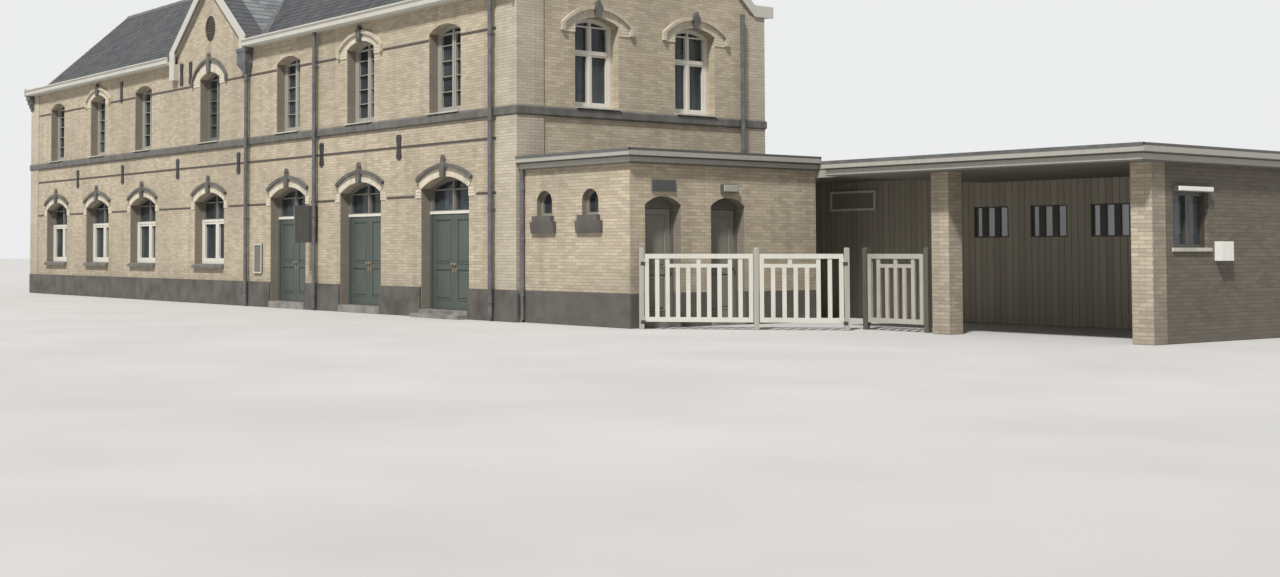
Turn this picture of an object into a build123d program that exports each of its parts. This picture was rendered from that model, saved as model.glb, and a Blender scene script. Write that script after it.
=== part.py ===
from build123d import *
import math
import os

# Railway station building: a two-storey main block with a cross gable, a low
# annex at its right end, timber gates and an open shelter beside a passage.
# Origin: front right corner of the main block at ground level.
# +X runs right along the front, +Y runs back into the building, +Z is up.

# Main block
main_length = 26900.0
main_depth = 6900.0
wall = 350.0
storey_joint = 3500.0
wall_top = 6600.0
floor_top = 160.0
upper_floor_top = 3760.0
upper_floor_depth = 250.0

# Bays along the front: margins beyond the outer bays and the wider middle pitch
left_margin = 2310.0
right_margin = 2510.0
middle_pitch = 4300.0

# Openings of the two storeys
door_width = 1760.0
ground_sill = 1060.0
ground_springing = 2720.0
ground_rise = 250.0
window_width = 1170.0
upper_sill = 4340.0
upper_springing = 6040.0
upper_rise = 160.0
end_window_offset = 1380.0
transom_height = 2190.0
reveal = 230.0
frame_depth = 80.0
frame_width = 80.0
bar_width = 50.0
glass_thickness = 8.0
upper_transom_height = 5480.0

# Plinth, string course and corner pilasters
plinth_top = 630.0
plinth_projection = 40.0
string_bottom = 4100.0
string_top = 4300.0
string_projection = 60.0
pilaster_width = 650.0
pilaster_projection = 30.0
mortar_joint = 2.0

# Arches, keystones, sills and iron anchors
arch_depth = 190.0
upper_arch_depth = 160.0
upper_arch_spread = 290.0
gable_arch_depth = 300.0
gable_arch_spread = 380.0
arch_projection = 15.0
label_depth = 80.0
label_projection = 70.0
keystone_width = 190.0
keystone_projection = 90.0
ground_finial_top = 3420.0
upper_finial_top = 6560.0
gable_finial_top = 6720.0
ground_sill_depth = 120.0
upper_sill_depth = 40.0
sill_projection = 90.0
anchor_height = 550.0
anchor_width = 70.0
anchor_thickness = 25.0
anchor_level = 3680.0
anchor_places = [9300.0, 5950.0, 1700.0, -1950.0, -5750.0, -9250.0]
tall_anchors = [(-5870.0, 6150.0), (-1730.0, 6290.0), (-1170.0, 6290.0)]
tall_anchor_height = 620.0

# Roofs
gutter_projection = 240.0
gutter_height = 215.0
gutter_wall = 40.0
gutter_floor = 90.0
roof_foot = 300.0
ridge_height = 9600.0
verge_overhang = 30.0
board_thickness = 40.0
board_depth = 280.0
board_upstand = 40.0
gable_projection = 110.0
gable_half = 2250.0
gable_below_ridge = 800.0
gable_roof_thickness = 300.0
cheek_width = 300.0
cheek_bottom = 6150.0
ridge_tile_half = 110.0
ridge_tile_rise = 50.0
vent_width = 600.0
vent_height = 700.0
vent_drop = 180.0
vent_depth = 60.0
pipe_radius = 50.0
pipe_standoff = 15.0
pipe_foot = 60.0
middle_pipe_place = 5780.0
end_pipe_inset = 730.0
end_pipe_place = 6150.0

# Doors and hinges
leaf_thickness = 55.0
leaf_gap = 5.0
meeting_gap = 8.0
floor_gap = 8.0
panel_recess = 12.0
stile_width = 110.0
pin_radius = 8.0
pin_offset = 12.0
knuckle_height = 60.0
knuckle_gap = 0.3
strap_length = 60.0
strap_thickness = 6.0
step_projection = 60.0
wide_step_projection = 300.0
wide_step_height = 80.0

# Annex
annex_length = 3200.0
annex_depth = 4900.0
annex_setback = 120.0
annex_wall = 300.0
annex_soffit = 3000.0
annex_fascia = 125.0
annex_overhang = 90.0
annex_step = 70.0
annex_floor_top = 100.0
annex_window_width = 480.0
annex_window_sill = 2080.0
annex_window_springing = 2330.0
annex_window_places = [710.0, 2080.0]
annex_window_reveal = 120.0
annex_box_width = 720.0
annex_box_height = 230.0
annex_box_projection = 90.0
annex_box_top = 1970.0
annex_door_width = 900.0
annex_door_springing = 2250.0
annex_door_rise = 160.0
annex_door_places = [930.0, 2590.0]
annex_jamb = 50.0
annex_leaf_thickness = 45.0
annex_leaf_top = 2190.0

# Boards, lamps and boxes fixed to the walls
poster_place = 2820.0
poster_size = (420.0, 740.0)
poster_foot = 840.0
wing_board_place = 5700.0
wing_board_size = (600.0, 880.0)
wing_board_foot = 1600.0
board_body = 40.0
annex_plate_size = (570.0, 210.0)
annex_plate_foot = 2500.0
annex_lamp_size = (400.0, 150.0)
annex_lamp_foot = 2510.0
lamp_body = 90.0
passage_sign_left = 1690.0
passage_sign_size = (1220.0, 420.0)
passage_sign_foot = 2250.0
shelter_lamp_height = 90.0
letter_box_place = 4850.0
letter_box_size = (320.0, 300.0)
letter_box_foot = 1250.0
letter_box_body = 130.0

# Timber gates
gate_angle = 46.0
gate_start = (3370.0, 240.0)
gate_post = 90.0
gate_post_height = 1460.0
gate_post_places = [0.0, 2030.0, 3600.0]
gate_height = 1350.0
gate_bottom = 130.0
gate_rail = 85.0
gate_second_rail = 65.0
gate_slot = 95.0
gate_rail_thickness = 60.0
gate_pale = 75.0
gate_pale_thickness = 34.0
gate_clearance = 12.0
gate_strap = 70.0
small_gate_line = 3400.0
small_gate_left = 5880.0
small_gate_right = 7100.0

# Shelter and passage
shelter_left = 5500.0
shelter_right = 11660.0
shelter_front = 2600.0
shelter_soffit = 2730.0
shelter_fascia = 125.0
shelter_step = 60.0
pier_size = 350.0
pier_places = [(7450.0, 3150.0), (11100.0, 3150.0)]
screen_front = 7200.0
screen_thickness = 150.0
screen_left = 1200.0
roof_back = 7500.0
side_window_front = 3700.0
side_window_back = 4700.0
side_window_sill = 1450.0
side_window_top = 2300.0
strip_start = 5300.0
strip_pitch = 1260.0
strip_groups = 5
strip_pane = 210.0
strip_bar = 75.0
strip_sill = 1660.0
strip_top = 2260.0

bay_pitch = (main_length - left_margin - right_margin - 2 * middle_pitch) / 4
centre = -right_margin - middle_pitch - 2 * bay_pitch
bay_offsets = [
    -middle_pitch - 2 * bay_pitch,
    -middle_pitch - bay_pitch,
    -middle_pitch,
    0.0,
    middle_pitch,
    middle_pitch + bay_pitch,
    middle_pitch + 2 * bay_pitch,
]
bays = [centre + offset for offset in bay_offsets]
window_bays = bays[:4]
door_bays = bays[4:]
hooded_bays = [bays[1], bays[3], bays[5]]
middle_depth = main_depth / 2
end_windows = [middle_depth - end_window_offset, middle_depth + end_window_offset]
gutter_top = wall_top + gutter_height
main_slope = (ridge_height - gutter_top) / (middle_depth - roof_foot)
gable_top = ridge_height - gable_below_ridge
gable_rise = gable_top - gable_roof_thickness - wall_top
gable_slope = gable_rise / gable_half
vent_centre = wall_top + gable_rise / 2 - vent_drop
annex_back = annex_setback + annex_depth
annex_top = annex_soffit + 2 * annex_fascia
shelter_top = shelter_soffit + 2 * shelter_fascia
frame_back = reveal + frame_depth
nodes = {}


def block(x0, x1, y0, y1, z0, z1):
    """Box between two corners."""
    corner = (Align.MIN, Align.MIN, Align.MIN)
    return Pos(x0, y0, z0) * Box(x1 - x0, y1 - y0, z1 - z0, align=corner)


def polygon(*points):
    """Flat face with straight sides."""
    return make_face(Polyline(*points, close=True).edges())


def across(face, y0, y1):
    """Face drawn as (X, Z), made into a solid from y0 back to y1."""
    return extrude(Pos(0, y1, 0) * (Plane.XZ * face), amount=y1 - y0)


def along(face, x0, x1):
    """Face drawn as (Y, Z), made into a solid from x0 to x1."""
    return extrude(Pos(x0, 0, 0) * (Plane.YZ * face), amount=x1 - x0)


def group(shapes):
    """Separate solids of one node."""
    return Compound([solid for shape in shapes for solid in shape.solids()])


def arched(middle, width, foot, springing, rise):
    """Outline of an opening with a segmental head."""
    left = middle - width / 2
    right = middle + width / 2
    sides = Polyline((left, springing), (left, foot), (right, foot), (right, springing))
    head = ThreePointArc((right, springing), (middle, springing + rise), (left, springing))
    return make_face(sides.edges() + head.edges())


def arch_ring(middle, width, springing, rise, start, depth):
    """Curved band above a segmental head, from start to start + depth off its curve."""
    radius = (width * width / 4 + rise * rise) / (2 * rise)
    hub = springing + rise - radius
    half_angle = math.asin(width / 2 / radius)
    inner = radius + start
    outer = inner + depth
    side = math.sin(half_angle)
    up = math.cos(half_angle)
    low = ThreePointArc(
        (middle - inner * side, hub + inner * up),
        (middle, hub + inner),
        (middle + inner * side, hub + inner * up),
    )
    high = ThreePointArc(
        (middle - outer * side, hub + outer * up),
        (middle, hub + outer),
        (middle + outer * side, hub + outer * up),
    )
    ends = [Line(low @ 0, high @ 0), Line(low @ 1, high @ 1)]
    return make_face(low.edges() + high.edges() + ends[0].edges() + ends[1].edges())


def keystone_face(middle, crown, depth, top):
    """Wedge that carries on upwards as a pointed finial."""
    half = keystone_width / 2
    neck = half * 0.45
    shoulder = crown + depth + label_depth
    neck_foot = shoulder + 30
    neck_top = (neck_foot + top) / 2
    return polygon(
        (middle - half * 0.7, crown - 20),
        (middle + half * 0.7, crown - 20),
        (middle + half, shoulder),
        (middle + neck, neck_foot),
        (middle + neck, neck_top),
        (middle, top),
        (middle - neck, neck_top),
        (middle - neck, neck_foot),
        (middle - half, shoulder),
    )


def segment(middle, half, springing, rise):
    """Area between a level chord and the arc above it."""
    chord = Line((middle - half, springing), (middle + half, springing))
    arc = ThreePointArc(
        (middle + half, springing), (middle, springing + rise), (middle - half, springing)
    )
    return make_face(chord.edges() + arc.edges())


def arch_dressing(middle, width, springing, rise, depth, top, solid):
    """Light arch and dark hood with keystone over one opening."""
    crown = springing + rise
    keystone = keystone_face(middle, crown, depth, top)
    ring = arch_ring(middle, width, springing, rise, 0, depth) - keystone
    label = arch_ring(middle, width, springing, rise, depth, label_depth)
    hood = solid(keystone, keystone_projection) + solid(label, label_projection)
    return solid(ring, arch_projection), hood


def upper_dressing(middle, depth, spread, top, solid):
    """Arch and hood over an upper window, wider at the foot than at the crown."""
    half = window_width / 2
    keystone = keystone_face(middle, upper_springing + upper_rise, depth, top)
    opening = segment(middle, half, upper_springing, upper_rise)
    outer = segment(middle, half + spread, upper_springing, upper_rise + depth)
    edge = segment(middle, half + spread + label_depth, upper_springing,
                   upper_rise + depth + label_depth)
    hood = solid(keystone, keystone_projection) + solid(edge - outer, label_projection)
    return solid(outer - opening - keystone, arch_projection), hood


def window_frame_face(middle, width, foot, springing, rise, transom, mullion):
    """Outer frame with, where asked, a transom at the given height and a middle post."""
    outline = arched(middle, width, foot, springing, rise)
    inner_width = width - 2 * frame_width
    inner_rise = rise * inner_width / width
    inner_springing = springing + rise - frame_width - inner_rise
    inner = arched(middle, inner_width, foot + frame_width, inner_springing, inner_rise)
    face = outline - inner
    if transom:
        face += inner & (Pos(middle, transom) * Rectangle(width, bar_width))
    if mullion:
        tall = springing + rise - foot
        face += inner & (Pos(middle, foot + tall / 2) * Rectangle(bar_width, tall))
    return face


def front_solid(face, projection):
    """Ornament on the front face of the main block."""
    return across(face, -projection, 0)


def rear_solid(face, projection):
    """Ornament on the rear face of the main block."""
    return across(face, main_depth, main_depth + projection)


def right_solid(face, projection):
    """Ornament on the right end of the main block."""
    return along(face, 0, projection)


def left_solid(face, projection):
    """Ornament on the left end of the main block."""
    return along(face, -main_length - projection, -main_length)


# Floors
inner_left = -main_length + wall
inner_right = -wall
inner_back = main_depth - wall
main_floor = block(inner_left, inner_right, wall, inner_back, 0, floor_top)
annex_floor = block(0, annex_length - annex_wall, annex_setback + annex_wall,
                    annex_back - annex_wall, 0, annex_floor_top)
nodes["ground_floors"] = group([main_floor, annex_floor])
nodes["upper_floor"] = block(inner_left, inner_right, wall, inner_back,
                             upper_floor_top - upper_floor_depth, upper_floor_top)

# Front wall
first_jamb = door_bays[0] - door_width / 2
lower_front = block(inner_left, first_jamb, 0, wall, 0, storey_joint)
for bay in window_bays:
    cut = arched(bay, door_width, ground_sill - ground_sill_depth, ground_springing, ground_rise)
    lower_front -= across(cut, 0, wall)
nodes["front_wall_lower"] = lower_front

pier_edges = []
for bay in door_bays:
    pier_edges.append(bay + door_width / 2)
pier_ends = [bay - door_width / 2 for bay in door_bays[1:]] + [inner_right]
nodes["front_piers"] = group([
    block(start, end, 0, wall, 0, ground_springing)
    for start, end in zip(pier_edges, pier_ends)
])

door_heads = block(first_jamb, inner_right, 0, wall, ground_springing, storey_joint)
for bay in door_bays:
    door_heads -= across(arched(bay, door_width, 0, ground_springing, ground_rise), 0, wall)
nodes["front_door_heads"] = door_heads


def wall_section(lift):
    """Section of an upper wall, with its top cut to the underside of the roof."""
    bevel_top = wall_top + main_slope * (wall - roof_foot)
    return polygon((0, lift), (wall, lift), (wall, bevel_top), (roof_foot, wall_top), (0, wall_top))


upper_front = along(wall_section(storey_joint), inner_left, inner_right)
upper_front -= block(centre - gable_half, centre + gable_half, 0, wall, wall_top, ridge_height)
for bay in bays:
    cut = arched(bay, window_width, upper_sill - upper_sill_depth, upper_springing, upper_rise)
    upper_front -= across(cut, 0, wall)
nodes["front_wall_upper"] = upper_front

gable_outline = polygon(
    (centre - gable_half, wall_top),
    (centre + gable_half, wall_top),
    (centre, wall_top + gable_rise),
)
vent = Pos(centre, vent_centre) * Ellipse(vent_width / 2, vent_height / 2)
gable_wall = across(gable_outline, 0, wall) - across(vent, 0, vent_depth)
nodes["cross_gable_wall"] = gable_wall

# Rear wall, the front repeated without its gable
rear_wall = along(wall_section(0), inner_left, inner_right)
rear_wall = Pos(0, main_depth, 0) * mirror(rear_wall, about=Plane.XZ)
for bay in bays:
    foot = ground_sill - ground_sill_depth if bay in window_bays else 0
    lower_cut = arched(bay, door_width, foot, ground_springing, ground_rise)
    upper_cut = arched(bay, window_width, upper_sill - upper_sill_depth, upper_springing, upper_rise)
    rear_wall -= across(lower_cut, inner_back, main_depth)
    rear_wall -= across(upper_cut, inner_back, main_depth)
nodes["rear_wall"] = rear_wall

# End walls with their gables
under_ridge = ridge_height - gutter_height
end_outline = polygon(
    (0, 0), (main_depth, 0), (main_depth, wall_top), (main_depth - roof_foot, wall_top),
    (middle_depth, under_ridge), (roof_foot, wall_top), (0, wall_top),
)
for middle in end_windows:
    end_outline -= arched(middle, window_width, upper_sill - upper_sill_depth,
                          upper_springing, upper_rise)
nodes["right_end_wall"] = along(end_outline, -wall, 0)
for middle in end_windows:
    end_outline -= arched(middle, door_width, ground_sill - ground_sill_depth,
                          ground_springing, ground_rise)
nodes["left_end_wall"] = along(end_outline, -main_length, -main_length + wall)

# Plinth
plinth_runs = [(-main_length - plinth_projection, first_jamb)]
plinth_runs += list(zip(pier_edges, pier_ends[:-1] + [plinth_projection]))
plinth_pieces = [
    block(start, end, -plinth_projection, 0, 0, plinth_top) for start, end in plinth_runs
]
plinth_pieces += [
    block(start, end, main_depth, main_depth + plinth_projection, 0, plinth_top)
    for start, end in plinth_runs
]
plinth_pieces.append(block(-main_length - plinth_projection, -main_length,
                           mortar_joint, main_depth - mortar_joint, 0, plinth_top))
plinth_pieces.append(block(0, plinth_projection, annex_back + mortar_joint,
                           main_depth - mortar_joint, 0, plinth_top))
nodes["plinth"] = group(plinth_pieces)


def ring(projection, z0, z1):
    """Band round the main block."""
    outer = block(-main_length - projection, projection, -projection,
                  main_depth + projection, z0, z1)
    return outer - block(-main_length, 0, 0, main_depth, z0, z1)


string_body = ring(string_projection, string_bottom, string_top)
top_edges = string_body.faces().sort_by(Axis.Z)[-1].outer_wire().edges()
bottom_edges = string_body.faces().sort_by(Axis.Z)[0].outer_wire().edges()
string_body = chamfer(top_edges + bottom_edges, string_projection / 2)
nodes["string_course"] = string_body

# Corner pilasters, stopped by the string course
pilasters = []
annex_envelope = block(0, annex_length, -annex_overhang - annex_step, annex_back, 0, annex_top)
for low, high in [(plinth_top, string_bottom), (string_top, wall_top)]:
    band = ring(pilaster_projection, low, high)
    for x_end in [-main_length, 0]:
        for y_end in [0, main_depth]:
            corner = block(x_end - pilaster_width, x_end + pilaster_width,
                           y_end - pilaster_width, y_end + pilaster_width, low, high)
            pilasters += (band & corner).solids()
passage_envelope = block(0, pilaster_width, annex_back, main_depth + pilaster_width,
                         shelter_soffit, shelter_top)
pilasters = [pilaster - annex_envelope - passage_envelope for pilaster in pilasters]
nodes["corner_pilasters"] = group(pilasters)

# Arches, hoods and keystones
arches = []
hoods = []
for solid in [front_solid, rear_solid]:
    for bay in bays:
        arch, hood = arch_dressing(bay, door_width, ground_springing, ground_rise,
                                   arch_depth, ground_finial_top, solid)
        arches.append(arch)
        hoods.append(hood)
    for bay in hooded_bays:
        if bay == hooded_bays[1] and solid is front_solid:
            arch, hood = upper_dressing(bay, gable_arch_depth, gable_arch_spread,
                                        gable_finial_top, solid)
        else:
            arch, hood = upper_dressing(bay, upper_arch_depth, upper_arch_spread,
                                        upper_finial_top, solid)
        arches.append(arch)
        hoods.append(hood)
for solid in [right_solid, left_solid]:
    for middle in end_windows:
        arch, hood = upper_dressing(middle, upper_arch_depth, upper_arch_spread,
                                    upper_finial_top, solid)
        arches.append(arch)
        hoods.append(hood)
nodes["opening_arches"] = group(arches)
nodes["hood_moulds"] = group(hoods)

# Window sills
ground_sill_face = polygon(
    (-sill_projection, ground_sill - ground_sill_depth), (reveal, ground_sill - ground_sill_depth),
    (reveal, ground_sill), (0, ground_sill), (-sill_projection, ground_sill - ground_sill_depth / 3),
)
upper_sill_face = polygon(
    (-sill_projection, string_top), (reveal, string_top), (reveal, upper_sill),
    (-sill_projection, upper_sill - upper_sill_depth / 3),
)


def front_sill(face, middle, width):
    """Sill between the jambs of an opening of the front."""
    return along(face, middle - width / 2, middle + width / 2)


def at_front(middle):
    """Place of an opening in the front wall."""
    return Pos(middle, 0, 0)


def at_rear(middle):
    """Place of an opening in the rear wall."""
    return Pos(middle, main_depth, 0) * Rot(0, 0, 180)


def at_right(middle):
    """Place of an opening in the right end wall."""
    return Pos(0, middle, 0) * Rot(0, 0, 90)


def at_left(middle):
    """Place of an opening in the left end wall."""
    return Pos(-main_length, middle, 0) * Rot(0, 0, -90)


ground_piece = front_sill(ground_sill_face, 0, door_width)
upper_piece = front_sill(upper_sill_face, 0, window_width)
upper_openings = [at_front(bay) for bay in bays] + [at_rear(bay) for bay in bays]
end_openings = [at_right(middle) for middle in end_windows]
end_openings += [at_left(middle) for middle in end_windows]
ground_openings = [at_front(bay) for bay in window_bays] + [at_rear(bay) for bay in window_bays]
ground_openings += [at_left(middle) for middle in end_windows]
door_openings = [at_front(bay) for bay in door_bays] + [at_rear(bay) for bay in door_bays]
sills = [place * upper_piece for place in upper_openings + end_openings]
sills += [place * ground_piece for place in ground_openings]
nodes["window_sills"] = group(sills)

# Windows: a frame in the reveal with its pane behind it
ground_face = window_frame_face(0, door_width, ground_sill, ground_springing, ground_rise,
                                transom_height + bar_width / 2, True)
upper_face = window_frame_face(0, window_width, upper_sill, upper_springing, upper_rise,
                               None, True)
end_face = window_frame_face(0, window_width, upper_sill, upper_springing, upper_rise,
                             upper_transom_height, True)
fanlight_face = window_frame_face(0, door_width, transom_height, ground_springing, ground_rise,
                                  transom_height, True)
ground_frame = across(ground_face, reveal, frame_back)
upper_frame = across(upper_face, reveal, frame_back)
end_frame = across(end_face, reveal, frame_back)
fanlight_frame = across(fanlight_face, reveal, frame_back)
ground_pane = across(arched(0, door_width, ground_sill, ground_springing, ground_rise),
                     frame_back, frame_back + glass_thickness)
upper_pane = across(arched(0, window_width, upper_sill, upper_springing, upper_rise),
                    frame_back, frame_back + glass_thickness)
fanlight_pane = across(arched(0, door_width, transom_height, ground_springing, ground_rise),
                       frame_back, frame_back + glass_thickness)
frames = []
panes = []


def fit_window(place, frame, pane):
    """One window set in its opening."""
    frames.append(place * frame)
    panes.append(place * pane)


for place in upper_openings:
    fit_window(place, upper_frame, upper_pane)
for place in end_openings:
    fit_window(place, end_frame, upper_pane)
for place in ground_openings:
    fit_window(place, ground_frame, ground_pane)
for place in door_openings:
    fit_window(place, fanlight_frame, fanlight_pane)

# Small arched windows of the annex front
annex_window_rise = annex_window_width / 2
annex_outline = arched(0, annex_window_width, annex_window_sill, annex_window_springing,
                       annex_window_rise - 1)
annex_inner = arched(0, annex_window_width - bar_width * 2, annex_window_sill + bar_width,
                     annex_window_springing, annex_window_rise - bar_width - 1)
annex_frame = across(annex_outline - annex_inner, annex_window_reveal,
                     annex_window_reveal + bar_width)
annex_pane = across(annex_outline, annex_window_reveal + bar_width,
                    annex_window_reveal + bar_width + glass_thickness)
for place in annex_window_places:
    fit_window(Pos(place, annex_setback, 0), annex_frame, annex_pane)

# Shelter windows: a strip of narrow panes at the back and one window in the side
strip_width = 3 * strip_pane + 2 * strip_bar
strip_height = strip_top - strip_sill
strip_places = [strip_start + strip_pitch * index for index in range(strip_groups)]
strip_face = Pos(strip_width / 2, strip_sill + strip_height / 2) * Rectangle(strip_width, strip_height)
strip_frame_face = strip_face
for index in range(3):
    pane_centre = strip_pane / 2 + index * (strip_pane + strip_bar)
    hole = Rectangle(strip_pane - bar_width, strip_height - bar_width)
    strip_frame_face -= Pos(pane_centre, strip_sill + strip_height / 2) * hole
strip_frame = across(strip_frame_face, screen_front, screen_front + bar_width)
strip_glass = across(strip_face, screen_front + bar_width,
                     screen_front + bar_width + glass_thickness)
for place in strip_places:
    fit_window(Pos(place, 0, 0), strip_frame, strip_glass)

side_wall_right = pier_places[1][0] + pier_size
side_wall_left = side_wall_right - pier_size / 2
side_middle = (side_window_front + side_window_back) / 2
side_width = side_window_back - side_window_front
side_height = side_window_top - side_window_sill
side_face = Pos(side_middle, side_window_sill + side_height / 2) * Rectangle(side_width, side_height)
side_hole = Rectangle(side_width / 2 - bar_width * 1.5, side_height - 2 * bar_width)
side_frame_face = side_face
for sign in [-1, 1]:
    shift = sign * (side_width / 4 - bar_width / 4)
    side_frame_face -= Pos(side_middle + shift, side_window_sill + side_height / 2) * side_hole
fit_window(Pos(0, 0, 0),
           along(side_frame_face, side_wall_left + bar_width, side_wall_left + 2 * bar_width),
           along(side_face, side_wall_left + bar_width - glass_thickness, side_wall_left + bar_width))
nodes["window_frames"] = group(frames)
nodes["window_glass"] = group(panes)

# Main roof and its box gutters
roof_left = -main_length - verge_overhang
roof_right = verge_overhang
slope_face = polygon(
    (roof_foot, wall_top), (roof_foot, gutter_top), (middle_depth, ridge_height),
    (middle_depth, under_ridge),
)
front_slope = along(slope_face, roof_left, roof_right)
valley_end = roof_foot + (gable_top - gutter_top) / main_slope
gable_prism = polygon(
    (centre - gable_half, wall_top), (centre - gable_half, gable_top - gable_rise),
    (centre, gable_top), (centre + gable_half, gable_top - gable_rise),
    (centre + gable_half, wall_top),
)
nodes["main_roof_rear"] = Pos(0, main_depth, 0) * mirror(front_slope, about=Plane.XZ)
nodes["main_roof_front"] = front_slope - across(gable_prism, 0, valley_end)

gable_roof_face = polygon(
    (centre - gable_half, wall_top), (centre - gable_half, gable_top - gable_rise),
    (centre, gable_top), (centre + gable_half, gable_top - gable_rise),
    (centre + gable_half, wall_top), (centre, gable_top - gable_roof_thickness),
)
under_main = polygon((roof_foot, wall_top), (middle_depth, under_ridge), (middle_depth, 0), (roof_foot, 0))
above_walls = across(gable_roof_face, -gable_projection, valley_end)
nodes["cross_gable_roof"] = above_walls - along(under_main, roof_left, roof_right)

gutter_face = polygon(
    (-gutter_projection, wall_top + 40), (-gutter_projection + 60, wall_top), (roof_foot, wall_top),
    (roof_foot, gutter_top), (roof_foot - gutter_wall, gutter_top),
    (roof_foot - gutter_wall, wall_top + gutter_floor),
    (-gutter_projection + gutter_wall, wall_top + gutter_floor),
    (-gutter_projection + gutter_wall, gutter_top), (-gutter_projection, gutter_top),
)
rear_gutter = Pos(0, main_depth, 0) * mirror(along(gutter_face, roof_left, roof_right), about=Plane.XZ)
nodes["gutters"] = group([
    along(gutter_face, roof_left, centre - gable_half),
    along(gutter_face, centre + gable_half, roof_right),
    rear_gutter,
])

# Bargeboards with their kneelers
verge_half = middle_depth + gutter_projection + board_thickness
board_low = board_depth - board_upstand
main_board = polygon(
    (roof_foot, gutter_top + board_upstand), (middle_depth, ridge_height + board_upstand),
    (main_depth - roof_foot, gutter_top + board_upstand),
    (middle_depth + verge_half, gutter_top + board_upstand),
    (middle_depth + verge_half, wall_top),
    (main_depth - roof_foot, wall_top),
    (middle_depth, ridge_height - board_low), (roof_foot, wall_top),
    (middle_depth - verge_half, wall_top),
    (middle_depth - verge_half, gutter_top + board_upstand),
)
board_apex = gable_top + board_upstand
board_foot = board_apex - gable_rise
cheek_half = gable_half - cheek_width
cheek_top = board_apex - board_depth - gable_slope * cheek_half
gable_board_face = polygon(
    (centre - gable_half, cheek_bottom), (centre - gable_half, board_foot), (centre, board_apex),
    (centre + gable_half, board_foot), (centre + gable_half, cheek_bottom),
    (centre + cheek_half, cheek_bottom), (centre + cheek_half, cheek_top),
    (centre, board_apex - board_depth),
    (centre - cheek_half, cheek_top), (centre - cheek_half, cheek_bottom),
)
gable_board = across(gable_board_face, -gable_projection - board_thickness, -gable_projection)
cheeks = block(centre - gable_half, centre - cheek_half, -gable_projection, 0, cheek_bottom, wall_top)
cheeks += block(centre + cheek_half, centre + gable_half, -gable_projection, 0, cheek_bottom, wall_top)
nodes["bargeboards"] = group([
    along(main_board, roof_right, roof_right + board_thickness),
    along(main_board, roof_left - board_thickness, roof_left),
    gable_board + cheeks,
])

# Ridge tiles
tile_drop = main_slope * ridge_tile_half
main_tile = make_face(
    ThreePointArc(
        (middle_depth - ridge_tile_half, ridge_height - tile_drop),
        (middle_depth, ridge_height + ridge_tile_rise),
        (middle_depth + ridge_tile_half, ridge_height - tile_drop),
    ).edges()
    + Polyline(
        (middle_depth + ridge_tile_half, ridge_height - tile_drop), (middle_depth, ridge_height),
        (middle_depth - ridge_tile_half, ridge_height - tile_drop),
    ).edges()
)
gable_drop = gable_slope * ridge_tile_half
gable_tile = make_face(
    ThreePointArc(
        (centre - ridge_tile_half, gable_top - gable_drop),
        (centre, gable_top + ridge_tile_rise),
        (centre + ridge_tile_half, gable_top - gable_drop),
    ).edges()
    + Polyline(
        (centre + ridge_tile_half, gable_top - gable_drop), (centre, gable_top),
        (centre - ridge_tile_half, gable_top - gable_drop),
    ).edges()
)
below_roof = polygon((roof_foot, gutter_top), (middle_depth, ridge_height), (middle_depth, 0), (roof_foot, 0))
nodes["ridge_tiles"] = group([
    along(main_tile, roof_left, roof_right),
    across(gable_tile, -gable_projection, valley_end) - along(below_roof, roof_left, roof_right),
])

# Downpipes and wall anchors
pipe_depth = string_projection + pipe_standoff + pipe_radius
pipe_length = wall_top - pipe_foot
pipe_places = [centre + gable_half + pipe_radius + pipe_standoff, centre + middle_pipe_place,
               -end_pipe_inset]
rear_pipe_places = [end_pipe_inset - main_length, -end_pipe_inset]
straight_pipe = Pos(0, 0, pipe_foot) * Cylinder(
    pipe_radius, pipe_length, align=(Align.CENTER, Align.CENTER, Align.MIN)
)
front_pipes = [Pos(place, -pipe_depth, 0) * straight_pipe for place in pipe_places]
rear_pipes = [Pos(place, main_depth + pipe_depth, 0) * straight_pipe for place in rear_pipe_places]
end_pipe_foot = shelter_top
end_pipe = Pos(pipe_depth, end_pipe_place, end_pipe_foot) * Cylinder(
    pipe_radius, wall_top - end_pipe_foot, align=(Align.CENTER, Align.CENTER, Align.MIN)
)
nodes["downpipes"] = group(front_pipes + rear_pipes + [end_pipe])


def anchor(middle, level, height):
    """Iron tie-bar anchor: a bar with pointed ends and a wider waist."""
    half = anchor_width / 2
    outline = polygon(
        (middle, level - height / 2), (middle + half * 0.6, level - height * 0.35),
        (middle + half * 0.6, level - half), (middle + half * 1.6, level),
        (middle + half * 0.6, level + half), (middle + half * 0.6, level + height * 0.35),
        (middle, level + height / 2), (middle - half * 0.6, level + height * 0.35),
        (middle - half * 0.6, level + half), (middle - half * 1.6, level),
        (middle - half * 0.6, level - half), (middle - half * 0.6, level - height * 0.35),
    )
    return front_solid(outline, anchor_thickness)


anchors = [anchor(centre + place, anchor_level, anchor_height) for place in anchor_places]
anchors += [anchor(centre + place, level, tall_anchor_height) for place, level in tall_anchors]
nodes["wall_anchors"] = group(anchors)

# Hinges: a lower knuckle fixed to the frame and an upper one on the leaf
hinge_levels = [0.14, 0.5, 0.86]


def knuckle(level):
    """Pin cylinder standing on the given level."""
    return Pos(0, 0, level) * Cylinder(
        pin_radius, knuckle_height, align=(Align.CENTER, Align.CENTER, Align.MIN)
    )


def leaf_hinges(height):
    """Straps and upper knuckles, with the pin at the origin and the leaf along +X."""
    pieces = None
    for share in hinge_levels:
        level = height * share
        strap = block(0, strap_length, -pin_offset, strap_thickness - pin_offset,
                      level, level + knuckle_height)
        link = block(-pin_radius * 0.5, pin_radius * 0.5, -pin_offset, 0,
                     level, level + knuckle_height)
        piece = strap + link + knuckle(level)
        pieces = piece if pieces is None else pieces + piece
    return pieces


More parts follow.
